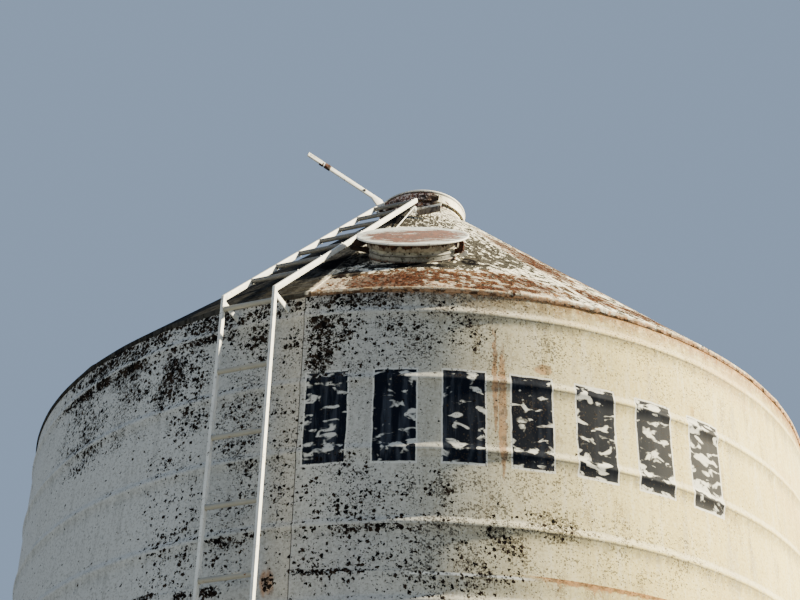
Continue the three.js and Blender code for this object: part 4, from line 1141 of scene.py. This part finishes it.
# Opener lever and its hinge. A flat white bar is welded to the lid's rim through a gusset, and turns on a
# pin between two rusted ears on the neck. Near its outer end it carries a clip plate, a hook and a hole.
LEVER_AZIMUTH = -60.0
LEVER_PIVOT, LEVER_FOOT, LEVER_TIP = (0.262, 1.625), (0.256, 1.692), (0.705, 1.836)
LEVER_WIDTH, LEVER_THICKNESS, LEVER_HEEL = 0.025, 0.010, 0.12
EYE_HOLE, EYE_RADIUS = 0.0065, 0.012
EAR_THICKNESS, EAR_OFFSET = 0.006, 0.014
PIN_RADIUS, PIN_REACH = 0.005, 0.022
UPRIGHT = Matrix(((0, 0, -1, 0), (-1, 0, 0, 0), (0, 1, 0, 0), (0, 0, 0, 1)))
LYING = Matrix(((0, 0, 1, 0), (0, 1, 0, 0), (-1, 0, 0, 0), (0, 0, 0, 1)))


def flat_bar(name, outline, thickness, holes=(), edge=0.0010, side=0.0):
    """A plate standing in the upright plane through the axis: outline and holes as reach out and height."""
    curve = bpy.data.curves.new(name, "CURVE")
    curve.dimensions, curve.fill_mode = "2D", "BOTH"
    curve.extrude, curve.bevel_depth, curve.bevel_resolution = thickness / 2 - edge, edge, 1
    curve.offset = -edge
    for ring in [outline] + [[(out + x, z + y) for x, y in circle(radius, 20)] for out, z, radius in holes]:
        add_line(curve, [(x, z, 0.0) for x, z in ring], closed=True)
    return moved(from_curve(name, curve), Matrix.Translation((side, 0, 0)) @ UPRIGHT)


def cross_pin(out, z, radius, start, end, sides=16, head=0.0):
    """A round pin lying across the upright plane, from start to end, with a hexagon head at its end."""
    parts = [turned("pin", disc(radius, start, end), step=360 / sides)]
    if head:
        parts.append(turned("pin_head", disc(radius * 1.7, end - head, end), step=60))
    return moved(one_mesh("pin", parts), Matrix.Translation((0, -out, z)) @ LYING)


def turned_to(mesh, azimuth, up=0.0):
    return moved(mesh, Matrix.Rotation(math.radians(azimuth), 4, "Z") @ Matrix.Translation((0, 0, up)))


def worn_white(name, shade, rung_side=None):
    """Worn white gloss paint: dull, chipped to rust at edges and joints, specked with lichen; given
    rung_side, the rungs are painted darker as painted shade, darkest on the roof.
    """
    white = Finish(name)
    cloud = white.noise(14.0, 4.0, 0.6)
    flecks = white.noise(75.0, 3.0, 0.6)
    chips = white.noise(34.0, 4.0, 0.7)
    colour = mix(cloud.step(0.38, 0.68), shade, tuple(c * 0.84 for c in shade))
    if rung_side is not None:
        turn = math.radians(rung_side)
        side = white.vector("DOT_PRODUCT", white.place, (math.cos(turn), math.sin(turn), 0.0))
        # painted shade: the rungs darker than the stiles, darker still on the roof
        painted_rung_shade = abs(side).step(0.1038, 0.1028)
        on_roof = white.split()[2].step(EAVE_Z + 0.05, EAVE_Z + 0.10)
        rung = mix(on_roof, mix(cloud, (0.36, 0.335, 0.27), (0.24, 0.22, 0.18)), (0.105, 0.100, 0.095))
        colour = mix(painted_rung_shade * 0.90, colour, rung)
    colour = mix(flecks.step(0.58, 0.66) * 0.45, colour, (0.40, 0.38, 0.33))
    rust = chips.step(0.665, 0.70)
    colour = mix(rust, colour, (0.20, 0.085, 0.035))
    colour = mix(flecks.step(0.685, 0.71), colour, (0.04, 0.032, 0.025))
    height = (1 - rust) * 0.8 + flecks * 0.25
    return white.surface(colour, rust.step(0.0, 1.0, 0.48, 0.88), height, 0.0006, gloss=0.45)


white_paint = worn_white("white_paint", (0.78, 0.77, 0.73))
run = LEVER_TIP[0] - LEVER_FOOT[0]
rise = LEVER_TIP[1] - LEVER_FOOT[1]
bar_length = math.hypot(run, rise)
across = (-rise / bar_length * LEVER_WIDTH / 2, run / bar_length * LEVER_WIDTH / 2)
heel = (LEVER_FOOT[0] + run * LEVER_HEEL, LEVER_FOOT[1] + rise * LEVER_HEEL)
lever_outline = [(LID_RADIUS + 0.001, LEVER_FOOT[1] - 0.018), (LID_RADIUS + 0.001, LID_FOOT + 0.006)]
lever_outline += arc(LEVER_PIVOT, EYE_RADIUS, 180, 360, 13)
lever_outline += [(LEVER_PIVOT[0] + EYE_RADIUS, LEVER_PIVOT[1] + LEVER_WIDTH),
                  (heel[0] - across[0], heel[1] - across[1]),
                  (LEVER_TIP[0] - across[0], LEVER_TIP[1] - across[1]),
                  (LEVER_TIP[0] + across[0], LEVER_TIP[1] + across[1]),
                  (LEVER_FOOT[0] + across[0], LEVER_FOOT[1] + across[1])]
lever_holes = [(*LEVER_PIVOT, EYE_HOLE), (LEVER_TIP[0] - 0.014, LEVER_TIP[1] - 0.005, 0.0045)]
lever_mesh = flat_bar("lever", lever_outline, LEVER_THICKNESS, lever_holes)
piece("opener_lever", turned_to(lever_mesh, LEVER_AZIMUTH, EAVE_Z), white_paint, "top_lid_body",
      "white_paint", "opener_lever")

dark_iron = rust_finish("dark_iron", (0.010, 0.008, 0.008), (0.036, 0.018, 0.013), (0.11, 0.038, 0.020))


def along_lever(share, over=0.0):
    return (LEVER_FOOT[0] + run * share + across[0] / (LEVER_WIDTH / 2) * over,
            LEVER_FOOT[1] + rise * share + across[1] / (LEVER_WIDTH / 2) * over)


def slanted_block(share, length, over_low, over_high, half):
    """A small plate laid along the lever."""
    corners = [along_lever(share - length / 2 / bar_length, over_low),
               along_lever(share + length / 2 / bar_length, over_low),
               along_lever(share + length / 2 / bar_length, over_high),
               along_lever(share - length / 2 / bar_length, over_high)]
    return flat_bar("clip", corners, half * 2, edge=0.0008)


clip_parts = [slanted_block(0.735, 0.034, -0.0140, 0.0125, 0.0080),
              slanted_block(0.795, 0.007, -0.0165, 0.0030, 0.0070),
              slanted_block(0.815, 0.020, -0.0165, -0.0120, 0.0065)]
for share, over in ((0.728, 0.004), (0.745, -0.006)):
    out, z = along_lever(share, over)
    clip_parts.append(cross_pin(out, z, 0.0045, -0.012, 0.012, head=0.004))
out, z = along_lever(0.235)
clip_parts.append(cross_pin(out, z, 0.0050, -0.0095, 0.0095, head=0.0035))
piece("lever_clip", turned_to(one_mesh("clip", clip_parts), LEVER_AZIMUTH, EAVE_Z), dark_iron,
      "top_lid_body", "rusted_steel")


def hinge_ears(root, pivot, top_drop, bridge_out, bridge_height, shoulder):
    """Two ears with rounded noses, the plate between them and a headed pin."""
    outline = ([root] + arc(pivot, EYE_RADIUS, -90, 90, 13)
               + [(pivot[0] - shoulder, pivot[1] + top_drop), (root[0], pivot[1] + top_drop)])
    parts = [flat_bar("ear", outline, EAR_THICKNESS, side=s * EAR_OFFSET, edge=0.0008) for s in (-1, 1)]
    parts.append(softened(block("bridge", (-0.018, -bridge_out - 0.002, bridge_height - 0.010),
                                (0.018, -bridge_out + 0.002, bridge_height + 0.010)), 0.0008))
    parts.append(cross_pin(*pivot, PIN_RADIUS, -PIN_REACH, PIN_REACH, head=0.003))
    return one_mesh("ears", parts)


collar_out = NECK_RADIUS + NECK_PLATE + 0.001
top_ears = hinge_ears((collar_out, LEVER_PIVOT[1] - 0.020), LEVER_PIVOT, 0.002, collar_out + 0.012,
                      LEVER_PIVOT[1] - 0.010, EYE_RADIUS)
piece("top_hinge_bracket", turned_to(top_ears, LEVER_AZIMUTH, EAVE_Z), dark_iron, "silo_body",
      "rusted_steel", "top_hinge_bracket")


# Rim clamp. A bent iron bracket is welded to the front of the neck, and its raised end carries a headed
# roller just clear of the lid's rim. Both have rusted brown and fast.
RIM_CLAMP_AZIMUTH = 15.0
CLAMP_FOOT, CLAMP_SHELF, CLAMP_TOP = 1.600, 1.622, 1.658
CLAMP_THROAT, CLAMP_REACH, CLAMP_WIDTH = 0.019, 0.032, 0.030
ROLLER_OUT, ROLLER_HEIGHT, ROLLER_RADIUS, ROLLER_HALF = 0.029, 1.640, 0.010, 0.021
clamp_hook = flat_bar("rim_clamp", [(collar_out, CLAMP_FOOT), (collar_out + CLAMP_REACH, CLAMP_FOOT),
                                    (collar_out + CLAMP_REACH, CLAMP_TOP),
                                    (collar_out + CLAMP_THROAT, CLAMP_TOP),
                                    (collar_out + CLAMP_THROAT, CLAMP_SHELF), (collar_out, CLAMP_SHELF)],
                      CLAMP_WIDTH, edge=0.002)
clamp_roller = cross_pin(collar_out + ROLLER_OUT, ROLLER_HEIGHT, ROLLER_RADIUS, -ROLLER_HALF, ROLLER_HALF,
                         sides=20, head=0.004)
piece("rim_clamp", turned_to(one_mesh("rim_clamp", [clamp_hook, clamp_roller]), RIM_CLAMP_AZIMUTH, EAVE_Z),
      dark_iron, "silo_body", "rusted_steel", "rim_clamp")


# Roof hatch. A short rolled neck is welded through the roof, square to its slope, cream paint over rust.
# Its dished lid has a deep skirt and a rolled rim, hinges on a strap at the left and is held by a clamp.
HATCH_NECK_HEIGHT, HATCH_NECK_DEPTH, HATCH_NECK_BEAD, HATCH_PLATE = 0.075, 0.025, 0.026, 0.004
HATCH_LID_RADIUS, HATCH_LID_HEIGHT, HATCH_SKIRT, HATCH_SKIRT_FOOT = 0.2456, 0.090, 0.2005, 0.045
HATCH_CROWN = 0.008
HATCH_PIVOT = (0.262, 0.040)
hatch_turn = hatch_place.to_3x3()


def from_hatch(finish):
    """Reach from the hatch's axis, height over the roof, and the shares to the right and up the slope."""
    centre = finish.vector("ADD", finish.place, tuple(-c for c in hatch_place.translation))
    right, up, height = (finish.vector("DOT_PRODUCT", centre, tuple(axis)) for axis in hatch_turn.col)
    return finish.vector("LENGTH", finish.joined(right, up)), height, right, up


def hatch_neck_finish():
    neck = Finish("hatch_neck_paint")
    _, height, right, up = from_hatch(neck)
    cloud = neck.noise(22.0, 4.0, 0.62)
    around = neck.noise(34.0, 3.0, 0.6, neck.joined(right * 0.35, up * 0.35, height))
    flecks = neck.noise(70.0, 3.0)
    colour = mix(cloud.step(0.38, 0.62), (0.46, 0.44, 0.35), (0.20, 0.19, 0.145))
    low = (height + around * 0.010).step(0.041, 0.035)
    colour = mix(low * 0.80, colour,
                 mix(cloud.step(0.40, 0.60), (0.270, 0.265, 0.250), (0.130, 0.125, 0.115)))
    # painted sunlight: the neck's right side, above its low band, painted pale
    painted_sunlight = right.step(0.06, 0.16) * (1 - low)
    colour = mix(painted_sunlight * around.step(0.52, 0.44), colour, (0.70, 0.67, 0.58))
    rust = (cloud + height.step(0.034, 0.052, 0.0, 0.20) + around * 0.25).step(0.74, 0.82)
    rust = most(rust, (height + cloud * 0.02).step(0.018, 0.009) * 0.92)
    colour = mix(rust, colour, mix(flecks.step(0.42, 0.62), (0.020, 0.016, 0.014), (0.17, 0.075, 0.038)))
    line = (height + around * 0.012).window(0.026, 0.0275, 0.031, 0.034)
    colour = mix(line * 0.75, colour, (0.06, 0.055, 0.04))
    colour = mix(flecks.step(0.60, 0.64), colour, (0.03, 0.025, 0.02))
    return neck.surface(colour, rust.step(0.0, 1.0, 0.6, 0.9), flecks - rust, 0.0010)


def hatch_lid_finish():
    lid = Finish("hatch_lid_paint")
    reach, height, right, up = from_hatch(lid)
    streak = lid.noise(13.0, 5.0, 0.68, lid.joined(right * 0.50, up * 2.4, height), bend=0.3)
    cloud = lid.noise(26.0, 4.0, 0.62)
    flecks = lid.noise(90.0, 3.0, 0.6)
    pale = mix(cloud.step(0.35, 0.65), (0.66, 0.69, 0.68), (0.47, 0.50, 0.48))
    off_line = abs(up - (right * 0.32 + -0.045))
    patch = ((off_line + (streak - 0.5) * 0.42).step(0.172, 0.140)
             * (reach + (streak - 0.5) * 0.34).step(0.222, 0.195))
    worn = patch * (streak + (flecks - 0.5) * 0.25).step(0.30, 0.42)
    rust = mix(cloud.step(0.38, 0.62), (0.072, 0.016, 0.006), (0.160, 0.044, 0.019))
    rust = mix(flecks.step(0.50, 0.60) * 0.7, rust, (0.030, 0.010, 0.006))
    top_side = height.step(HATCH_LID_HEIGHT - 0.004, HATCH_LID_HEIGHT - 0.001)
    colour = mix(worn * top_side * 0.95, pale, rust)
    rim_line = reach.step(0.2405, 0.2435) * height.step(0.0805, 0.0825)
    colour = mix(rim_line * 0.8, colour, (0.84, 0.83, 0.79))
    # the skirt under the rim is painted darker than the top as painted shade, with a band of rust and
    # painted rim shadow along its top
    shaded_skirt = 1 - height.step(0.079, 0.081)
    dripping = lid.noise(42.0, 3.0, 0.6, lid.joined(right, up, height * 0.15))
    rust_and_rim_shadow = (height + (dripping - 0.5) * 0.070).step(0.058, 0.064)
    below = mix(cloud.step(0.40, 0.60), (0.36, 0.31, 0.23), (0.17, 0.135, 0.095))
    below = mix(rust_and_rim_shadow, below,
                mix(flecks.step(0.40, 0.62), (0.012, 0.005, 0.004), (0.085, 0.026, 0.010)))
    colour = mix(shaded_skirt, colour, below)
    colour = mix(flecks.step(0.62, 0.67) * 0.75, colour, (0.10, 0.075, 0.055))
    rough = worn.step(0.0, 1.0, 0.50, 0.85)
    return lid.surface(colour, rough, (1 - worn) * 0.6 + cloud * 0.5, 0.0010)


hatch_neck_paint, hatch_lid_paint = hatch_neck_finish(), hatch_lid_finish()
neck_inner = HATCH_NECK_RADIUS - HATCH_PLATE
hatch_neck_section = [(neck_inner, -HATCH_NECK_DEPTH), (HATCH_NECK_RADIUS, -HATCH_NECK_DEPTH),
                      (HATCH_NECK_RADIUS, HATCH_NECK_BEAD - SWAGE_HALF)]
hatch_neck_section += arc((HATCH_NECK_RADIUS - 0.0005, HATCH_NECK_BEAD), 0.0045, -70, 70, 6, 0.8)
hatch_neck_section += [(HATCH_NECK_RADIUS, HATCH_NECK_BEAD + SWAGE_HALF),
                       (HATCH_NECK_RADIUS, HATCH_NECK_HEIGHT - 0.001),
                       (HATCH_NECK_RADIUS - 0.001, HATCH_NECK_HEIGHT),
                       (neck_inner + 0.001, HATCH_NECK_HEIGHT), (neck_inner, HATCH_NECK_HEIGHT - 0.001)]
hatch_weld = weld("hatch_weld", [(x, y, 0.002) for x, y in circle(HATCH_NECK_RADIUS, 72)], 0.0045,
                  closed=True, seed=8)
piece("hatch_neck",
      moved(one_mesh("hatch_neck", [turned("neck", hatch_neck_section, step=3), hatch_weld]), hatch_place),
      hatch_neck_paint, "silo_body", "wall_paint", "hatch_neck")

rim = HATCH_LID_HEIGHT
dish = [(HATCH_SKIRT * k / 10, rim + HATCH_CROWN * (1 - (k / 10) ** 2)) for k in range(11)]
lid_profile = [(r, z - LID_PLATE) for r, z in dish[:10]]
lid_profile += [(HATCH_SKIRT - 0.0035, rim - 0.0040), (HATCH_SKIRT - 0.0035, HATCH_SKIRT_FOOT),
                (HATCH_SKIRT - 0.002, HATCH_SKIRT_FOOT), (HATCH_SKIRT, HATCH_SKIRT_FOOT + 0.001),
                (HATCH_SKIRT, rim - 0.0055), (HATCH_SKIRT + 0.002, rim - 0.0032),
                (HATCH_LID_RADIUS - 0.006, rim - 0.0032)]
lid_profile += arc((HATCH_LID_RADIUS - 0.0042, rim - 0.0050), 0.0042, -120, 90, 10)
lid_profile += [(HATCH_LID_RADIUS - 0.012, rim - 0.0006)] + dish[::-1]
strap_outline = ([(HATCH_SKIRT - 0.001, HATCH_SKIRT_FOOT + 0.008)]
                 + arc(HATCH_PIVOT, EYE_RADIUS, -135, 45, 13)
                 + [(HATCH_LID_RADIUS - 0.006, rim - 0.0032), (HATCH_SKIRT - 0.001, rim - 0.0032)])
strap = flat_bar("strap", strap_outline, LEVER_THICKNESS, [(*HATCH_PIVOT, EYE_HOLE)])
lid_dish = turned("hatch_lid", lid_profile, step=3)
piece("hatch_lid", moved(lid_dish, hatch_place), hatch_lid_paint, "hatch_lid_body", "roof_paint",
      "hatch_lid")
piece("hatch_strap", moved(strap, hatch_place @ Matrix.Rotation(math.radians(-90), 4, "Z")), dark_iron,
      "hatch_lid_body", "rusted_steel")
hatch_ears = hinge_ears((hatch_side, 0.012), HATCH_PIVOT, -0.003, HATCH_NECK_RADIUS + 0.011, 0.024, 0.030)
piece("hatch_hinge_bracket", moved(hatch_ears, hatch_place @ Matrix.Rotation(math.radians(-90), 4, "Z")),
      dark_iron, "silo_body", "rusted_steel", "hatch_hinge_bracket")


# Hatch clamp. A lug on the neck's right carries a pin, and the handle swings out on it. The lug and the
# handle's narrow bar are dark red with rust; the bar ends in an oval pad that keeps its white paint.
CLAMP_PIVOT, CLAMP_AZIMUTH = (0.222, 0.062), 75
CLAMP_PLATE, HANDLE_SIDE, BAR_RADIUS, BAR_FOOT = 0.008, 0.014, 0.008, 0.020
PAD_CENTRE, PAD_LENGTH, PAD_WIDTH, PAD_LEAN = (CLAMP_PIVOT[0] + 0.003, 0.014), 0.0215, 0.0125, 28
clamp_turn = hatch_place @ Matrix.Rotation(math.radians(CLAMP_AZIMUTH), 4, "Z")


def clamp_finish():
    """Old dark red paint, rusted through to near black in patches, the handle's pad still white."""
    red = Finish("clamp_red")
    cloud, flecks = red.noise(60.0, 4.0, 0.62), red.noise(170.0, 3.0, 0.6)
    colour = mix(cloud.step(0.42, 0.58), (0.070, 0.014, 0.008), (0.018, 0.009, 0.007))
    colour = mix(flecks.step(0.54, 0.62) * 0.8, colour, (0.150, 0.055, 0.022))
    return red.surface(colour, 0.80, cloud + flecks * 0.4, 0.0007)


clamp_red = clamp_finish()
lug_outline = [(hatch_side, 0.014), (CLAMP_PIVOT[0] - 0.002, 0.020), (CLAMP_PIVOT[0] + 0.006, 0.034),
               (CLAMP_PIVOT[0] + 0.009, 0.054), (CLAMP_PIVOT[0] + 0.009, 0.068),
               (CLAMP_PIVOT[0] + 0.005, 0.072), (CLAMP_PIVOT[0] - 0.009, 0.072),
               (CLAMP_PIVOT[0] - 0.012, 0.068), (CLAMP_PIVOT[0] - 0.012, 0.050),
               (CLAMP_PIVOT[0] - 0.018, 0.038), (hatch_side, 0.038)]
lug = one_mesh("clamp_lug", [flat_bar("lug", lug_outline, CLAMP_PLATE, edge=0.0012),
                             cross_pin(*CLAMP_PIVOT, 0.004, -0.006, 0.022, head=0.003)])
piece("hatch_clamp_lug", moved(lug, clamp_turn), clamp_red, "silo_body", "rusted_steel", "hatch_clamp_lug")
bar_outline = [(CLAMP_PIVOT[0] - 0.006, CLAMP_PIVOT[1]), (CLAMP_PIVOT[0] - 0.004, BAR_FOOT),
               (CLAMP_PIVOT[0] + 0.006, BAR_FOOT), (CLAMP_PIVOT[0] + 0.008, CLAMP_PIVOT[1])]
bar_outline += arc(CLAMP_PIVOT, BAR_RADIUS, 15, 165, 11)
bar = flat_bar("bar", bar_outline, CLAMP_PLATE * 0.7, [(*CLAMP_PIVOT, 0.0052)], edge=0.0012,
               side=HANDLE_SIDE)
piece("hatch_clamp_bar", moved(bar, clamp_turn), clamp_red, "hatch_clamp_body", "rusted_steel",
      "hatch_clamp_handle")
lean = math.radians(PAD_LEAN)
pad_outline = []
for x, y in circle(1.0, 24):
    along, across = PAD_LENGTH * x, PAD_WIDTH * y
    pad_outline.append((PAD_CENTRE[0] + along * math.cos(lean) - across * math.sin(lean),
                        PAD_CENTRE[1] + along * math.sin(lean) + across * math.cos(lean)))
pad = flat_bar("pad", pad_outline, CLAMP_PLATE, edge=0.0024, side=HANDLE_SIDE)
piece("hatch_clamp_pad", moved(pad, clamp_turn), white_paint, "hatch_clamp_body", "white_paint")


# Ladder. Two flat-bar stiles with round rungs welded between them stand off the wall on short lugs, are cut
# and welded at the eave, and run on up the roof to the filling neck. All of it is white paint over steel;
# the rungs are painted darker as painted shade.
LADDER_AZIMUTH, LADDER_WIDTH, STANDOFF = -20.0, 0.220, 0.130
STILE_THICKNESS, STILE_DEPTH = 0.012, 0.023
RUNG_RADIUS, RUNG_PROUD, RUNG_PITCH, FIRST_RUNG_DROP, WALL_RUNGS = 0.0105, 0.0055, 0.285, 0.090, 16
LADDER_FOOT, KINK_DROP, ROOF_LENGTH = 0.350, 0.037, 2.200
ROOF_RUNG_FIRST, ROOF_RUNG_PITCH, ROOF_RUNGS, ROOF_RUNG_RAISE = 0.310, 0.305, 7, 0.0020
LUG_HEIGHTS = {"low": 0.600, "middle": 2.690, "top": 4.743}
SIDES = {"left": -LADDER_WIDTH / 2, "right": LADDER_WIDTH / 2}
ladder_out = WALL_RADIUS + STANDOFF
kink = EAVE_Z - KINK_DROP
half = STILE_DEPTH / 2
slope_sin, slope_cos = math.sin(SLOPE), math.cos(SLOPE)
mitre_reach = half / (1 + slope_sin)
mitre = ((1 + slope_sin) * mitre_reach, slope_cos * mitre_reach)
GAP = 0.0003


def rung(out, z, number):
    """A round bar through both stiles with a weld bead at each."""
    end = LADDER_WIDTH / 2 + RUNG_PROUD
    parts = [turned("rung", disc(RUNG_RADIUS, -end, end, 0.1), step=22.5)]
    for side in (-1, 1):
        reach = side * (LADDER_WIDTH / 2 - STILE_THICKNESS / 2 - 0.001)
        ring = [(x, y, reach) for x, y in circle(RUNG_RADIUS, 14)]
        parts.append(weld("bead", ring, 0.0028, closed=True, seed=number * 2 + side))
    return moved(one_mesh("rung", parts), Matrix.Translation((0, -out, z)) @ LYING)


ladder_paint = worn_white("ladder_paint", (0.80, 0.79, 0.75), LADDER_AZIMUTH)
wall_stile = [(ladder_out - half, LADDER_FOOT), (ladder_out + half, LADDER_FOOT),
              (ladder_out + mitre[0], kink + mitre[1] - GAP),
              (ladder_out - mitre[0], kink - mitre[1] - GAP)]
far = (ladder_out - ROOF_LENGTH * slope_cos, kink + ROOF_LENGTH * slope_sin)
nose = 0.012
roof_stile = [(ladder_out - mitre[0], kink - mitre[1] + GAP),
              (ladder_out + mitre[0], kink + mitre[1] + GAP)]
for along, over in ((nose, half), (nose * 0.3, half * 0.72), (0.0, half * 0.2), (0.0, -half * 0.2),
                    (nose * 0.3, -half * 0.72), (nose, -half)):
    roof_stile.append((far[0] + along * slope_cos + over * slope_sin,
                       far[1] - along * slope_sin + over * slope_cos))
wall_parts = [flat_bar("stile", wall_stile, STILE_THICKNESS, side=s) for s in SIDES.values()]
roof_parts = [flat_bar("stile", roof_stile, STILE_THICKNESS, side=s) for s in SIDES.values()]
for k in range(WALL_RUNGS):
    wall_parts.append(rung(ladder_out, EAVE_Z - FIRST_RUNG_DROP - k * RUNG_PITCH, k))
for k in range(ROOF_RUNGS):
    along = ROOF_RUNG_FIRST + k * ROOF_RUNG_PITCH
    roof_parts.append(rung(ladder_out - along * slope_cos + ROOF_RUNG_RAISE * slope_sin,
                           kink + along * slope_sin + ROOF_RUNG_RAISE * slope_cos, 20 + k))
for side in SIDES.values():
    for reach in (-1, 1):
        seam_side = side + reach * (STILE_THICKNESS / 2 - 0.0006)
        roof_parts.append(weld("kink_weld", [
            (seam_side, -ladder_out - mitre[0] * 0.9, kink + mitre[1] * 0.9),
            (seam_side, -ladder_out + mitre[0] * 0.9, kink - mitre[1] * 0.9)], 0.0016, seed=31))
piece("wall_ladder", turned_to(one_mesh("wall_ladder", wall_parts), LADDER_AZIMUTH), ladder_paint,
      "silo_body", "white_paint", "wall_ladder")
piece("roof_ladder", turned_to(one_mesh("roof_ladder", roof_parts), LADDER_AZIMUTH), ladder_paint,
      "silo_body", "white_paint", "roof_ladder")

LUG_WIDTH, LUG_THICKNESS = 0.025, 0.006
lug_start, lug_end = WALL_RADIUS + 0.0005, ladder_out - half - GAP
for level, height in LUG_HEIGHTS.items():
    for name, side in SIDES.items():
        bar = softened(block("lug", (side - LUG_THICKNESS / 2, -lug_end, height - LUG_WIDTH / 2),
                             (side + LUG_THICKNESS / 2, -lug_start, height + LUG_WIDTH / 2)), 0.0008)
        beads = [weld("bead", [(side + s * 0.003, -lug_end, height - 0.011),
                               (side + s * 0.003, -lug_end, height + 0.011)], 0.0020,
                      seed=int(height * 10) + s) for s in (-1, 1)]
        beads += [weld("bead", [(side + s * 0.0035, -lug_start - 0.001, height - 0.012),
                                (side + s * 0.0035, -lug_start - 0.001, height + 0.012)], 0.0022,
                       seed=int(height * 7) + s) for s in (-1, 1)]
        piece(f"ladder_lug_{level}_{name}", turned_to(one_mesh("lug", [bar] + beads), LADDER_AZIMUTH),
              white_paint, "silo_body", "white_paint", f"ladder_lug_{level}_{name}")


# Stay at the ladder's top. A square post and a thin tie rod prop the right stile off the roof, and a short
# angle bar joins it sideways to the filling neck; the angle has rusted dark.
STAY_TOP, STAY_FOOT, STAY_BAR = (0.113, 0.425, 1.432), (0.143, 0.460, 1.352), 0.008
TIE_FOOT, TIE_RADIUS = (0.150, 0.800, 1.022), 0.005
ANGLE_FROM, ANGLE_TO, ANGLE_OUT = 0.137, 0.268, 0.464
ANGLE_FOOT, ANGLE_CORNER, ANGLE_RISE, ANGLE_LEAN, ANGLE_PLATE = 1.343, 1.378, 0.026, 0.015, 0.004


def stay_point(side, out, z):
    return (side, -out, EAVE_Z + z)


def square_bar(name, start, end, half_width):
    start, end = Vector(start), Vector(end)
    length = (end - start).length
    bar = softened(block(name, (-half_width, -half_width, 0), (half_width, half_width, length)), 0.0010)
    turn = (end - start).to_track_quat("Z", "Y").to_matrix().to_4x4()
    return moved(bar, Matrix.Translation(start) @ turn)


post = square_bar("post", stay_point(*STAY_TOP), stay_point(*STAY_FOOT), STAY_BAR * 0.75)
tie = rod("tie", [stay_point(*STAY_TOP), stay_point(*TIE_FOOT)], TIE_RADIUS * 0.6)
piece("ladder_top_stay", turned_to(one_mesh("stay", [post, tie]), LADDER_AZIMUTH), white_paint, "silo_body",
      "white_paint", "ladder_top_stay")
angle_outline = [(ANGLE_OUT, EAVE_Z + ANGLE_FOOT), (ANGLE_OUT, EAVE_Z + ANGLE_CORNER),
                 (ANGLE_OUT - ANGLE_LEAN, EAVE_Z + ANGLE_CORNER + ANGLE_RISE),
                 (ANGLE_OUT - ANGLE_LEAN - ANGLE_PLATE,
                  EAVE_Z + ANGLE_CORNER + ANGLE_RISE - ANGLE_PLATE / 2),
                 (ANGLE_OUT - ANGLE_PLATE, EAVE_Z + ANGLE_CORNER - ANGLE_PLATE / 2),
                 (ANGLE_OUT - ANGLE_PLATE, EAVE_Z + ANGLE_FOOT)]
angle_bar = flat_bar("angle", angle_outline, ANGLE_TO - ANGLE_FROM, side=(ANGLE_FROM + ANGLE_TO) / 2,
                     edge=0.0008)


def angle_finish():
    """Weathered iron, brown grey on its face; its upper leg painted pale as a painted highlight."""
    iron = Finish("angle_iron")
    scale = iron.noise(45.0, 4.0, 0.65, iron.stretched(1.0, 1.0, 0.4))
    fine = iron.noise(160.0, 2.0)
    # painted highlight on the angle's upper leg
    lit_upper_leg = iron.split()[2].step(EAVE_Z + ANGLE_CORNER - 0.001, EAVE_Z + ANGLE_CORNER + 0.002)
    colour = mix(scale.step(0.35, 0.62), (0.050, 0.036, 0.028), (0.150, 0.120, 0.090))
    colour = mix(lit_upper_leg, colour, mix(scale.step(0.50, 0.62), (0.56, 0.54, 0.47), (0.20, 0.16, 0.12)))
    return iron.surface(colour, 0.82, scale + fine * 0.4, 0.0007)


piece("ladder_stay_angle", turned_to(angle_bar, LADDER_AZIMUTH), angle_finish(), "silo_body",
      "rusted_steel")
